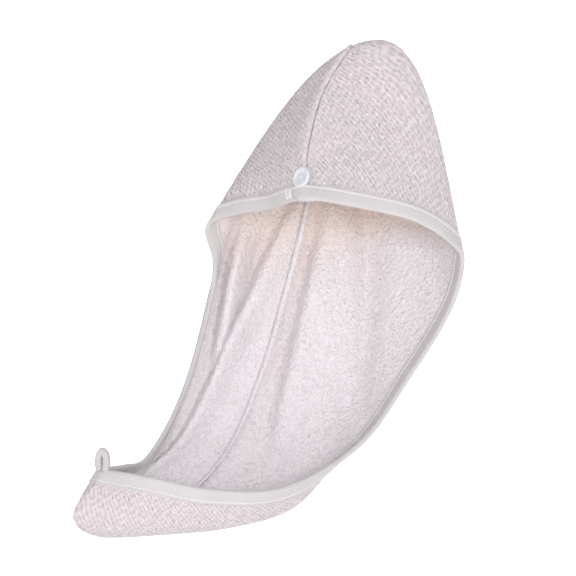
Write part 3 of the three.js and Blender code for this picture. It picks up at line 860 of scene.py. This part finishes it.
def panelFace(side, rowCount, spacing, outer, flatGrid):
    # one face of a panel as rows of points that keep an even spacing across the cloth
    rows = np.linspace(0, cadRows, rowCount + 1)
    start = mix(browPlace, tailPlace, rows / cadRows)
    edgeAlong, edgeAcross = tapeEdge(rows, side)
    probe = np.linspace(0, 1, 61)
    probeAlong = mix(start[:, None], edgeAlong[:, None], probe)
    probeAcross = edgeAcross[:, None] * probe
    steps = np.linalg.norm(np.diff(smoothCloth(probeAlong, probeAcross), axis=1), axis=-1)
    lengths = np.concatenate([np.zeros((len(rows), 1)), np.cumsum(steps, axis=1)], axis=1)
    shareOf = []
    reachOf = []
    for rowLengths in lengths:
        total = rowLengths[-1]
        count = max(1, round(total / spacing))
        reach = np.linspace(0, total, count + 1)
        shareOf.append(np.interp(reach, rowLengths, probe) if total > 0 else np.linspace(0, 1, count + 1))
        reachOf.append(reach)
    rowIndex = np.repeat(np.arange(len(rows)), [len(part) for part in shareOf])
    share = np.concatenate(shareOf)
    reach = np.concatenate(reachOf)
    along = mix(start[rowIndex], edgeAlong[rowIndex], share)
    across = edgeAcross[rowIndex] * share
    across = np.where(share == 0, 0.0, across)
    points = cloth(along, np.where(across == 0, side * onSide, across))
    normals = normalAt(along, across, side)
    toEdge = lengths[rowIndex, -1] - reach
    stripDepth = np.linspace(1, 0, panels["stripColumns"] + 1)[1:]
    stripPoints, stripNormals = tapeStrip(side, rows, stripDepth)
    # each row runs from the seam to the tape's edge, then on under the tape to the rim
    strip = towel["tapeWidth"] * (1 - stripDepth)
    stripRow = np.repeat(np.arange(len(rows)), len(strip))
    order = np.argsort(np.concatenate([rowIndex, stripRow]), kind="stable")
    rowLength = lengths[:, -1:]
    stripShare = 1 + strip / np.maximum(rowLength, panels["shortestRow"])
    points = np.concatenate([points, stripPoints.reshape(-1, 3)])[order]
    normals = np.concatenate([normals, stripNormals.reshape(-1, 3)])[order]
    reach = np.concatenate([reach, (rowLength + strip).ravel()])[order]
    toEdge = np.concatenate([toEdge, np.tile(-strip, len(rows))])[order]
    share = np.concatenate([share, stripShare.ravel()])[order]
    rowIndex = np.concatenate([rowIndex, stripRow])[order]
    rowLists = np.split(np.arange(len(points)), np.cumsum(np.bincount(rowIndex))[:-1])
    flat = readGrid(*flatGrid, rows[rowIndex], share)
    lattice = latticeAt(points, flat, side)
    openness = smoothStep(toEdge, 0, panels["pressFade"])
    nearSeam = smoothStep(reach, panels["openFrom"][side], panels["openTo"][side])
    openness = openness * mix(panels["seamOpenness"], 1, nearSeam)
    paintedShade = np.zeros(len(points))
    if outer:
        points = points + normals * outerLift(side, lattice, reach, toEdge, openness)[:, None]
    else:
        edges = (start[rowIndex], edgeAlong[rowIndex], edgeAcross[rowIndex])
        # painted shade for the inner face's colour, in folds and under the brow
        paintedShade = paintedShadeOf(points, normals, *edges, share)
        soft = sum(wobble(points, size, seed + side) * height for size, seed, height in panels["lumps"])
        soft = soft * smoothStep(toEdge, *panels["softFade"])
        points = points - normals * (towel["thickness"] + soft)[:, None]
    seamPoints = np.array([row[0] for row in rowLists])
    way = unit(np.gradient(points[seamPoints], axis=0))
    outward = unit(np.cross(way, normals[seamPoints]))
    points[seamPoints] += outward * side * towel["gap"] / 2
    return {"points": points, "lattice": lattice, "rows": rowLists, "reach": reach,
            "openness": openness, "paintedShade": paintedShade}


def towellingPanel(side):
    settings = panels[side]
    flatGrid = flatPattern(side)
    outer = panelFace(side, settings["rows"], settings["spacing"], True, flatGrid)
    inner = panelFace(side, settings["rows"] // 2, settings["spacing"] * 2, False, flatGrid)
    base = len(outer["points"])
    faces = []
    inside = []
    for layer, offset, flip in ((outer, 0, False), (inner, base, True)):
        rowLists = layer["rows"]
        reach = layer["reach"]
        for first, second in zip(rowLists[:-1], rowLists[1:]):
            strip = ladder(first + offset, second + offset, reach[first], reach[second])
            faces.extend(strip if flip == (side > 0) else [face[::-1] for face in strip])
        inside.append(len(faces))
    # close the wall along the seam and along the rim
    outerRows = np.linspace(0, 1, len(outer["rows"]))
    innerRows = np.linspace(0, 1, len(inner["rows"]))
    for column, turn in ((0, side > 0), (-1, side < 0)):
        outerLine = [row[column] for row in outer["rows"]]
        innerLine = [row[column] + base for row in inner["rows"]]
        strip = ladder(outerLine, innerLine, outerRows, innerRows)
        faces.extend([face[::-1] for face in strip] if turn else strip)
    # close the short ends at the brow and the tail
    for end in (0, -1):
        outerEnd = outer["rows"][end]
        innerEnd = inner["rows"][end]
        strip = ladder(outerEnd, innerEnd + base, outer["reach"][outerEnd], inner["reach"][innerEnd])
        faces.extend([face[::-1] for face in strip] if (end == 0) == (side < 0) else strip)
    points = np.concatenate([outer["points"], inner["points"]])
    lattice = np.concatenate([outer["lattice"], inner["lattice"]])
    faceMaterials = np.zeros(len(faces), np.int32)
    faceMaterials[inside[0]:inside[1]] = 1
    cloths = [waffleCloth, pileCloth]
    piece = meshPiece(settings["name"], points, faces, cloths, faceMaterials, "lattice", lattice)
    for name in ("openness", "paintedShade"):
        layer = piece.data.attributes.new(name, "FLOAT", "POINT")
        layer.data.foreach_set("value", np.concatenate([outer[name], inner[name]]).astype(np.float32))
    print(settings["name"], len(piece.data.polygons), "triangles")
    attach(piece, "root")
    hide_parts(settings["node"])
    return piece


leftTowelling = towellingPanel(-1)
rightTowelling = towellingPanel(1)
print("towelling made")


# Binding tape, folded over the rim with a leg on each face
tape = {
    "rowSteps": 10,
    "thickness": 0.0011,
    # leg profile from the rim to the free edge: share of the width, height over the cloth
    "leg": (
        (0.00, 0.00120), (0.12, 0.00125), (0.30, 0.00120), (0.55, 0.00112), (0.74, 0.00100), (0.80, 0.00085),
        (0.86, 0.00125), (0.93, 0.00155), (0.99, 0.00150), (1.03, 0.00110), (1.04, 0.00060),
    ),
    "grooveShare": 0.80,
    "under": 0.00025,
    "foldSteps": 6,
    "inwardColumn": 4,
    "measuredRow": 200,
    "lift": 0.0014,
    "climb": (0.3, 1.3),
    "startDrop": (0.85, 1.0),
    "lapEnd": 0.9,
    "lapSteps": 9,
    "lapSlant": 0.007,
}


def tapeRun():
    # left rim from the brow to the tail, right rim back, and the lap over the tape's own start
    leftRows = np.linspace(0, cadRows, cadRows * tape["rowSteps"] + 1)
    rightRows = leftRows[::-1][1:]
    lapRows = np.linspace(0, tape["lapEnd"], tape["lapSteps"])[1:]
    return [(-1, leftRows), (1, rightRows), (-1, lapRows)]


def climbingLift(rows):
    # the right tape climbs over the start of the left one as it nears the brow
    return tape["lift"] * (1 - smoothStep(rows, *tape["climb"]))


def tapeSection(points, normals, rimOut, lift):
    # one run of the tape's closed outline: outer leg, fold, inner leg, then back underneath
    heights = np.array([height for share, height in tape["leg"]])
    half = towel["thickness"] / 2
    middle = points - normals * half
    lift = lift[:, None, None]
    top = middle + normals * (half + heights[None, :, None] + lift)
    bottom = middle - normals * (half + heights[None, :, None] + lift)
    underTop = middle + normals * (half + tape["under"] + lift)
    underBottom = middle - normals * (half + tape["under"] + lift)
    turns = np.linspace(90, -90, tape["foldSteps"] + 2)[1:-1]
    radians = np.radians(turns)
    rim = middle[:, :1]
    rimNormal = normals[:, :1]
    out = rimOut[:, None]
    around = out * np.cos(radians)[None, :, None] + rimNormal * np.sin(radians)[None, :, None]
    fold = rim + around * (half + heights[0] + lift)
    underFold = rim + around * (half + tape["under"] + lift)
    outline = [top[:, ::-1], fold, bottom, underBottom[:, ::-1], underFold[:, ::-1], underTop]
    return np.concatenate(outline, axis=1)


def makeTape():
    shares = np.array([share for share, height in tape["leg"]])
    blocks = []
    centres = []
    for part, (side, rows) in enumerate(tapeRun()):
        points, normals = tapeStrip(side, rows, shares)
        rimOut = unit(points[:, 0] - points[:, tape["inwardColumn"]])
        rimOut = unit(rimOut - normals[:, 0] * dot(rimOut, normals[:, 0]))
        if part == 2:
            lift = np.full(len(rows), tape["lift"])
        elif part == 1:
            lift = climbingLift(rows)
        else:
            lift = np.zeros(len(rows))
        section = tapeSection(points, normals, rimOut, lift)
        if part == 2:
            # the cut end of the lap runs slanting across the tape
            way = unit(np.gradient(points[:, 0], axis=0))
            reach = dot(points[:, :1] - section, rimOut[:, None]) / towel["tapeWidth"]
            slant = tape["lapSlant"] * (reach - 0.5) * (rows / tape["lapEnd"])[:, None, None]
            section = section + way[:, None] * slant
        blocks.append(section)
        centres.append(points[:, 0])
    section = np.concatenate(blocks)
    centre = np.concatenate(centres)
    around = lengthsAlong(section[tape["measuredRow"]])
    quads, caps = skinFaces(*section.shape[:2])
    uvs = gridUvs(lengthsAlong(centre), around)
    piece = meshPiece("rim_tape", section.reshape(-1, 3), [*quads, *caps], [tapeCloth], None, "weave", uvs)
    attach(piece, "root")
    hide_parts("rim_binding")
    return piece


rimTape = makeTape()
print("rim tape made", len(rimTape.data.polygons), "faces")


def sweep(name, rings, materials, uvName=None, uvs=None):
    # a closed skin over rings of points, with its ends capped and its faces outwards
    quads, caps = skinFaces(*rings.shape[:2])
    points = rings.reshape(-1, 3)
    middle = points.mean(axis=0)
    corners = points[quads] - middle
    volume = (np.cross(corners[:, 0], corners[:, 1]) * corners[:, 2]).sum()
    volume += (np.cross(corners[:, 0], corners[:, 2]) * corners[:, 3]).sum()
    faces = [*quads, *caps]
    if volume < 0:
        faces = [face[::-1] for face in faces]
    return meshPiece(name, points, faces, materials, None, uvName, uvs)


# Seam allowance standing up along the middle seam, inside, bent over to the right
ridge = {
    "endRows": 4,
    "stepsPerRow": 8,
    "width": 0.0030,
    "height": 0.0045,
    "lean": 0.0016,
    "wave": 0.0005,
    "heightWave": 0.12,
    "taper": 0.6,
    "endHeight": 0.25,
    "endWidth": 0.6,
    "bendCurve": 1.4,
    # half outline from the left foot to the top: share of half the width, share of the height
    "outline": ((-1.0, 0.0), (-1.0, 0.35), (-0.96, 0.70), (-0.72, 0.92), (-0.30, 1.0)),
}


def ridgeFrame(rows):
    along = mix(browPlace, tailPlace, rows / cadRows)
    normal = normalAt(along, 0 * along, -1)
    foot = cloth(along, 0 * along - onSide) - normal * (towel["thickness"] + towel["gap"])
    way = unit(np.gradient(foot, axis=0))
    acrossWay = cloth(along, 0 * along + 0.1) - cloth(along, 0 * along - 0.1)
    sideways = unit(acrossWay - normal * dot(acrossWay, normal) - way * dot(acrossWay, way))
    return foot, way, sideways, -normal


def makeRidge():
    first = ridge["endRows"]
    last = cadRows - ridge["endRows"]
    rows = np.linspace(first, last, (last - first) * ridge["stepsPerRow"] + 1)
    foot, way, sideways, up = ridgeFrame(rows)
    half = ridge["outline"]
    outline = list(half) + [(-x, y) for x, y in half[::-1]]
    across = np.array([x for x, y in outline]) * ridge["width"] / 2
    rise = np.array([y for x, y in outline])
    size = np.minimum(1, np.minimum(rows - first, last - rows) / ridge["taper"] + ridge["endHeight"])
    bend = ridge["lean"] + ridge["wave"] * wobble(foot, 0.012, 31)
    height = ridge["height"] * size * (1 + ridge["heightWave"] * wobble(foot, 0.008, 33))
    widths = ridge["endWidth"] + (1 - ridge["endWidth"]) * size[:, None]
    shift = across[None] * widths + bend[:, None] * rise[None] ** ridge["bendCurve"]
    lift = (rise[None] * height[:, None])[..., None]
    rings = foot[:, None] + sideways[:, None] * shift[..., None] + up[:, None] * lift
    piece = sweep("seam_roll", rings, [pileCloth])
    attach(piece, "root")
    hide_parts("seam_ridge")
    return piece


seamRoll = makeRidge()
print("seam roll made")


# Stitches: one short thread, set again and again along a row of points
def stitchTree():
    tree = bpy.data.node_groups.new("stitch_row", "GeometryNodeTree")
    tree.interface.new_socket("Points", in_out="INPUT", socket_type="NodeSocketGeometry")
    for name in ("Length", "Width", "Foot", "Rise", "Thread", "Variation"):
        tree.interface.new_socket(name, in_out="INPUT", socket_type="NodeSocketFloat")
    tree.interface.new_socket("Seed", in_out="INPUT", socket_type="NodeSocketInt")
    tree.interface.new_socket("Material", in_out="INPUT", socket_type="NodeSocketMaterial")
    tree.interface.new_socket("Stitches", in_out="OUTPUT", socket_type="NodeSocketGeometry")
    net = NodeNet(tree)
    given = net.add("NodeGroupInput").outputs
    result = net.add("NodeGroupOutput")

    def place(lengthShare, widthShare, height):
        node = net.add("ShaderNodeCombineXYZ")
        net.link(net.math("MULTIPLY", given["Length"], lengthShare), node.inputs["X"])
        net.link(net.math("MULTIPLY", given["Width"], widthShare), node.inputs["Y"])
        net.link(height, node.inputs["Z"])
        return node.outputs["Vector"]

    path = net.add("GeometryNodeCurveQuadraticBezier")
    path.inputs["Resolution"].default_value = 5
    net.link(place(-0.5, -0.5, given["Foot"]), path.inputs["Start"])
    net.link(place(0.0, 0.0, given["Rise"]), path.inputs["Middle"])
    net.link(place(0.5, 0.5, given["Foot"]), path.inputs["End"])
    outline = net.add("GeometryNodeCurvePrimitiveCircle")
    outline.inputs["Resolution"].default_value = 6
    net.link(net.math("MULTIPLY", given["Thread"], 0.5), outline.inputs["Radius"])
    thread = net.add("GeometryNodeCurveToMesh")
    thread.inputs["Fill Caps"].default_value = True
    net.link(path.outputs["Curve"], thread.inputs["Curve"])
    net.link(outline.outputs["Curve"], thread.inputs["Profile Curve"])

    turn = net.add("FunctionNodeAxesToRotation")
    turn.primary_axis = "Z"
    turn.secondary_axis = "X"
    for name, axis in (("way", "Secondary Axis"), ("up", "Primary Axis")):
        stored = net.add("GeometryNodeInputNamedAttribute")
        stored.data_type = "FLOAT_VECTOR"
        stored.inputs["Name"].default_value = name
        net.link(stored.outputs["Attribute"], turn.inputs[axis])
    size = net.add("FunctionNodeRandomValue")
    net.link(net.math("SUBTRACT", 1.0, given["Variation"]), size.inputs[2])
    net.link(net.math("ADD", 1.0, given["Variation"]), size.inputs[3])
    net.link(given["Seed"], size.inputs["Seed"])
    rowOf = net.add("GeometryNodeInstanceOnPoints")
    net.link(given["Points"], rowOf.inputs["Points"])
    net.link(thread.outputs["Mesh"], rowOf.inputs["Instance"])
    net.link(turn.outputs["Rotation"], rowOf.inputs["Rotation"])
    net.link(size.outputs[1], rowOf.inputs["Scale"])
    realize = net.add("GeometryNodeRealizeInstances")
    net.link(rowOf.outputs["Instances"], realize.inputs["Geometry"])
    smooth = net.add("GeometryNodeSetShadeSmooth")
    net.link(realize.outputs["Geometry"], smooth.inputs["Geometry"])
    finish = net.add("GeometryNodeSetMaterial")
    net.link(smooth.outputs["Geometry"], finish.inputs["Geometry"])
    net.link(given["Material"], finish.inputs["Material"])
    net.link(finish.outputs["Geometry"], result.inputs["Stitches"])
    return tree


stitchRow = stitchTree()
stitchInputs = [item for item in stitchRow.interface.items_tree if item.in_out == "INPUT"]
stitchSockets = {item.name: item.identifier for item in stitchInputs}


def sew(name, points, ways, ups, settings, material):
    base = bpy.data.meshes.new(name + "_points")
    base.from_pydata([tuple(point) for point in points], [], [])
    for attribute, values in (("way", ways), ("up", ups)):
        layer = base.attributes.new(attribute, "FLOAT_VECTOR", "POINT")
        layer.data.foreach_set("vector", np.asarray(values, np.float32).ravel())
    carrier = bpy.data.objects.new(name + "_points", base)
    bpy.context.scene.collection.objects.link(carrier)
    modifier = carrier.modifiers.new("stitches", "NODES")
    modifier.node_group = stitchRow
    for label, value in settings.items():
        modifier[stitchSockets[label]] = value
    modifier[stitchSockets["Material"]] = material
    graph = bpy.context.evaluated_depsgraph_get()
    mesh = bpy.data.meshes.new_from_object(carrier.evaluated_get(graph))
    mesh.name = name
    bpy.data.objects.remove(carrier)
    piece = bpy.data.objects.new(name, mesh)
    bpy.context.scene.collection.objects.link(piece)
    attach(piece, "root")
    print(name, len(points), "stitches", len(mesh.polygons), "faces")
    return piece


def evenly(points, pitch, *others):
    # points along a line at an even pitch, with other values read at the same places
    reach = lengthsAlong(points)
    count = max(2, round(reach[-1] / pitch))
    at = (np.arange(count) + 0.5) * reach[-1] / count
    return [np.stack([np.interp(at, reach, values[:, axis]) for axis in range(3)], axis=1)
            for values in (points, *others)]


tapeStitches = {"Length": 0.0025, "Width": 0.0, "Foot": -0.0002, "Rise": 0.0007, "Thread": 0.00050,
                "Variation": 0.12, "Seed": 3}
tapeStitchPitch = 0.0032


def sewTape():
    points = []
    ways = []
    ups = []
    grooveShare = tape["grooveShare"]
    grooveHeight = dict(tape["leg"])[grooveShare]
    for side in (-1, 1):
        rows = np.linspace(0, cadRows, cadRows * 12 + 1)
        strip, normals = tapeStrip(side, rows, np.array([0.0, grooveShare]))
        middle = strip[:, 1] - normals[:, 1] * towel["thickness"] / 2
        if side > 0:
            lift = climbingLift(rows)
        else:
            lift = tape["lift"] * (1 - smoothStep(rows, *tape["startDrop"]))
        for face in (1, -1):
            up = normals[:, 1] * face
            line = middle + up * (towel["thickness"] / 2 + grooveHeight + lift[:, None])
            way = unit(np.gradient(line, axis=0))
            at, wayAt, upAt = evenly(line, tapeStitchPitch, way, up)
            points.append(at)
            ways.append(unit(wayAt))
            ups.append(unit(upAt))
    lines = [np.concatenate(part) for part in (points, ways, ups)]
    return sew("tape_stitching", *lines, tapeStitches, whiteThread)


tapeStitching = sewTape()

overlock = {"Length": 0.0024, "Width": 0.0044, "Foot": 0.0004, "Rise": 0.0092, "Thread": 0.00050,
            "Variation": 0.05, "Seed": 5}
overlockPitch = 0.0030


def sewRidge():
    first = ridge["endRows"] + 0.5
    last = cadRows - ridge["endRows"] - 0.5
    rows = np.linspace(first, last, 400)
    foot, way, sideways, up = ridgeFrame(rows)
    leaning = unit(up + sideways * ridge["lean"] / ridge["height"])
    at, wayAt, upAt = evenly(foot, overlockPitch, way, leaning)
    return sew("seam_overlock", at, unit(wayAt), unit(upAt), overlock, whiteThread)


seamOverlock = sewRidge()

# Closing stitches across the tape, just past the end of its lap
lapStitches = {"Length": 0.0092, "Width": 0.0004, "Foot": 0.0001, "Rise": 0.0013, "Thread": 0.00065,
               "Variation": 0.08, "Seed": 7}
lapStitchRows = (1.03, 1.12, 1.22, 1.33, 1.46, 1.60)
lapStitchShares = (0.0, 0.48, 0.9)
lapStitchHeight = 0.00125


def sewLap():
    rows = np.array(lapStitchRows)
    strip, normals = tapeStrip(-1, rows, np.array(lapStitchShares))
    up = normals[:, 1]
    points = strip[:, 1] + up * lapStitchHeight
    ways = unit(strip[:, 2] - strip[:, 0])
    return sew("lap_stitching", points, ways, up, lapStitches, whiteThread)


lapStitching = sewLap()


# Button: wide rim, shallow well, four holes, sewn on beside the seam
button = {
    "radius": 0.0100,
    "thickness": 0.0030,
    "rimWidth": 0.0032,
    "wellDepth": 0.0010,
    "softness": 0.0011,
    "rise": 0.0212,
    "shift": 0.0070,
    "turn": 9.0,
    "lift": 0.0012,
    "holeRadius": 0.0009,
    "holeSpacing": 0.0034,
    "sides": 72,
    "holeSides": 20,
    "drillSpan": (-0.002, 0.006),
    "threadRadius": 0.00028,
}


def buttonFrame():
    target = rimAt(0.0) + np.array([-button["shift"], 0, button["rise"]])
    along, across = nearest(target[None], np.array([0.5]), np.array([-0.2]), -1)
    alongWay, _, normal = (part[0] for part in directions(smoothCloth, along, across, -1))
    sideways = unit(np.cross(alongWay, normal))
    upward = np.cross(normal, sideways)
    # its right edge rests on the seam's roll, which turns it further to the left
    turn = math.radians(button["turn"])
    facing = normal * math.cos(turn) - sideways * math.sin(turn)
    sideways = sideways * math.cos(turn) + normal * math.sin(turn)
    return cloth(along, across)[0] + normal * button["lift"], sideways, upward, facing


def onButton(points):
    place, sideways, upward, normal = buttonFrame()
    points = np.asarray(points)
    return place + points[:, :1] * sideways + points[:, 1:2] * upward + points[:, 2:] * normal


def buttonProfile():
    # radius and height from the middle of the back round to the middle of the well
    radius = button["radius"]
    top = button["thickness"]
    soft = button["softness"]
    inner = radius - button["rimWidth"]
    well = top - button["wellDepth"]
    arc = np.radians(np.linspace(0, 90, 7))
    outline = [(radius - 0.0007, 0.0), (radius - 0.0002, 0.0002), (radius, 0.0008)]
    outline += [(radius - soft + soft * math.cos(turn), top - soft + soft * math.sin(turn)) for turn in arc]
    outline += [(inner + 0.0011, top), (inner + 0.0006, top - 0.0001), (inner + 0.0001, top - 0.0004)]
    outline += [(inner - 0.0004, well + 0.0002), (inner - 0.0009, well), (inner * 0.45, well)]
    return outline


def makeButton():
    outline = buttonProfile()
    turns = np.linspace(0, 2 * math.pi, button["sides"], endpoint=False)
    points = [(r * math.cos(turn), r * math.sin(turn), z) for r, z in outline for turn in turns]
    count = button["sides"]
    faces = []
    for ring in range(len(outline) - 1):
        for corner in range(count):
            after = (corner + 1) % count
            faces.append((ring * count + corner, ring * count + after,
                          (ring + 1) * count + after, (ring + 1) * count + corner))
    last = (len(outline) - 1) * count
    faces.append(tuple(range(count - 1, -1, -1)))
    faces.append(tuple(range(last, last + count)))
    piece = meshPiece("shirt_button", points, faces, [buttonPlastic])
    for index in range(4):
        turn = (index + 0.5) * math.pi / 2
        reach = button["holeSpacing"] / math.sqrt(2)
        drillRing = np.linspace(0, 2 * math.pi, button["holeSides"], endpoint=False)
        drillPoints = [(math.cos(turn) * reach + math.cos(a) * button["holeRadius"],
                        math.sin(turn) * reach + math.sin(a) * button["holeRadius"], z)
                       for z in button["drillSpan"] for a in drillRing]
        sides = button["holeSides"]
        drillFaces = [(a, (a + 1) % sides, sides + (a + 1) % sides, sides + a) for a in range(sides)]
        drillFaces += [tuple(range(sides - 1, -1, -1)), tuple(range(sides, 2 * sides))]
        drill = meshPiece("drill", drillPoints, drillFaces, [buttonPlastic])
        cut = piece.modifiers.new("hole", "BOOLEAN")
        cut.object = drill
        cut.operation = "DIFFERENCE"
        cut.solver = "EXACT"
        graph = bpy.context.evaluated_depsgraph_get()
        mesh = bpy.data.meshes.new_from_object(piece.evaluated_get(graph))
        piece.modifiers.clear()
        piece.data = mesh
        bpy.data.objects.remove(drill)
    placed = onButton([vertex.co[:] for vertex in piece.data.vertices])
    piece.data.vertices.foreach_set("co", placed.astype(np.float32).ravel())
    piece.data.set_sharp_from_angle(angle=math.radians(40))
    piece.data.update()
    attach(piece, "root")
    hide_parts("button")
    return piece


def tubeRings(path, radius, sides):
    # rings round a path of points, turned as little as possible from one to the next
    path = np.asarray(path, float)
    ways = unit(np.gradient(path, axis=0))
    first = np.cross(ways[0], (0.3, 0.5, 0.8))
    rings = []
    for point, way in zip(path, ways):
        first = unit(first - way * (first * way).sum())
        second = np.cross(way, first)
        turns = np.linspace(0, 2 * math.pi, sides, endpoint=False)
        rings.append(point + radius * (np.cos(turns)[:, None] * first + np.sin(turns)[:, None] * second))
    return np.stack(rings)


def joinPieces(name, parts):
    bpy.ops.object.select_all(action="DESELECT")
    for part in parts:
        part.select_set(True)
    bpy.context.view_layer.objects.active = parts[0]
    bpy.ops.object.join()
    parts[0].name = name
    parts[0].data.name = name
    return parts[0]


def makeButtonThread():
    well = button["thickness"] - button["wellDepth"]
    radius = button["threadRadius"]
    reach = button["holeSpacing"] / math.sqrt(2)
    parts = []
    for index in range(2):
        turn = (index + 0.5) * math.pi / 2
        over = np.array([math.cos(turn), math.sin(turn), 0])
        beside = np.array([-math.sin(turn), math.cos(turn), 0])
        for strand in (-1, 1):
            offset = beside * strand * radius * 0.95
            top = well + radius * (1.3 + 1.9 * index)
            half = [(1.0, -0.0012), (1.02, well - 0.0004), (0.9, well + radius * 0.8), (0.5, top)]
            corners = [(-share, height) for share, height in half]
            corners += [(0.0, top + radius * 0.3)] + half[::-1]
            control = np.array([over * share * reach + offset + (0, 0, height) for share, height in corners])
            path = throughPoints(control, np.linspace(0, len(control) - 1, 33))
            rings = tubeRings(path, radius, 10)
            placed = onButton(rings.reshape(-1, 3)).reshape(rings.shape)
            parts.append(sweep("strand", placed, [buttonCotton]))
    piece = joinPieces("button_sewing", parts)
    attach(piece, "root")
    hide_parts("button_thread")
    return piece


shirtButton = makeButton()
buttonSewing = makeButtonThread()
print("button made")


# Loop at the tail tip: a soft folded band bent into a ring
loop = {
    "height": 0.021,
    "width": 0.0155,
    "stockAcross": 0.0067,
    "stockDeep": 0.0060,
    "footTurn": 2.5,
    "steps": 56,
    "sides": 28,
    "puff": 0.0003,
    "sunk": 0.003,
    "squareness": 0.72,
    "creaseDepth": 0.16,
    "creaseWidth": 0.16,
}


def loopSection(turns):
    # rounded band whose outer side is split by the crease between its two folded edges
    across = np.sign(np.cos(turns)) * np.abs(np.cos(turns)) ** loop["squareness"]
    deep = np.sign(np.sin(turns)) * np.abs(np.sin(turns)) ** loop["squareness"]
    crease = 1 - loop["creaseDepth"] * np.exp(-((turns - math.pi / 2) / loop["creaseWidth"]) ** 2)
    return across * crease, deep * crease


def makeLoop():
    halfWidth = (loop["width"] - loop["stockAcross"]) / 2
    footDrop = 1 + math.cos(loop["footTurn"])
    halfHeight = (loop["height"] - loop["stockAcross"] / 2) / (2 - footDrop)
    bends = np.linspace(-loop["footTurn"], loop["footTurn"], loop["steps"] + 1)
    turns = np.linspace(0, 2 * math.pi, loop["sides"], endpoint=False)
    across, deep = loopSection(turns)
    out = unit(np.stack([np.sin(bends) * halfHeight, np.cos(bends) * halfWidth], axis=1))
    radial = across * loop["stockAcross"] / 2
    x = np.sin(bends)[:, None] * halfWidth + out[:, :1] * radial
    y = np.broadcast_to(deep * loop["stockDeep"] / 2, x.shape)
    z = (1 + np.cos(bends)[:, None] - footDrop) * halfHeight + out[:, 1:] * radial
    rings = np.stack([x, y, z], axis=-1)
    swell = wobble(rings.reshape(-1, 3), 0.005, 41).reshape(x.shape)
    rings = rings + (rings - rings.mean(axis=1, keepdims=True)) * swell[..., None] * loop["puff"] / 0.003
    # stand it on the fold of the tape at the tail tip, as the CAD's loop stands
    station = float(lastSection)
    tip = rimAt(station)
    while np.linalg.norm(rimAt(station) - tip) < loop["width"] / 3:
        station -= step
    normal = directions(smoothCloth, np.array([station]), np.array([1.0]), 1)[2][0]
    middle = rimAt(station) - normal * towel["thickness"] / 2
    way = rimAt(2 * station - lastSection) - tip
    turn = math.atan2(way[1], way[0])
    turnedX = rings[..., 0] * math.cos(turn) - rings[..., 1] * math.sin(turn)
    turnedY = rings[..., 0] * math.sin(turn) + rings[..., 1] * math.cos(turn)
    turned = np.stack([turnedX, turnedY, rings[..., 2]], axis=-1)
    rise = towel["thickness"] / 2 + towel["gap"] + tape["thickness"] + towel["gap"] - turned[..., 2].min()
    turned = turned + middle + np.array([0, 0, rise - loop["sunk"]])
    uvs = gridUvs(lengthsAlong(turned.mean(axis=1)), turns * loop["stockAcross"] / 2)
    piece = sweep("hanging_loop", turned, [tapeCloth], "weave", uvs)
    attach(piece, "root")
    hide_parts("button_loop")
    return piece


hangingLoop = makeLoop()
print("loop made")


# Floor and backdrop, not part of the object
def stagePiece(name, corners, colour, glow):
    settings = {"Roughness": 0.9, "Emission Strength": glow}
    material, net, shader = newMaterial(name, settings)
    shader.inputs["Emission Color"].default_value = (1, 1, 1, 1)
    tone = net.noise(net.place(), 3.0)
    low = tuple(value * 0.99 for value in colour)
    net.link(net.mix(tone, low, colour), shader.inputs["Base Color"])
    meshPiece(name, corners, [(0, 1, 2, 3)], [material], smooth=False)


half = studio["floorSize"] / 2
low = studio["floorHeight"]
back = studio["backdropPlace"]
stagePiece("floor", [(-half, -half, low), (half, -half, low), (half, half, low), (-half, half, low)],
           studio["floorColour"], studio["floorGlow"])
stagePiece("backdrop", [(-half, back, low), (half, back, low), (half, back, half), (-half, back, half)],
           studio["floorColour"], studio["backdropGlow"])

print("scene finished")
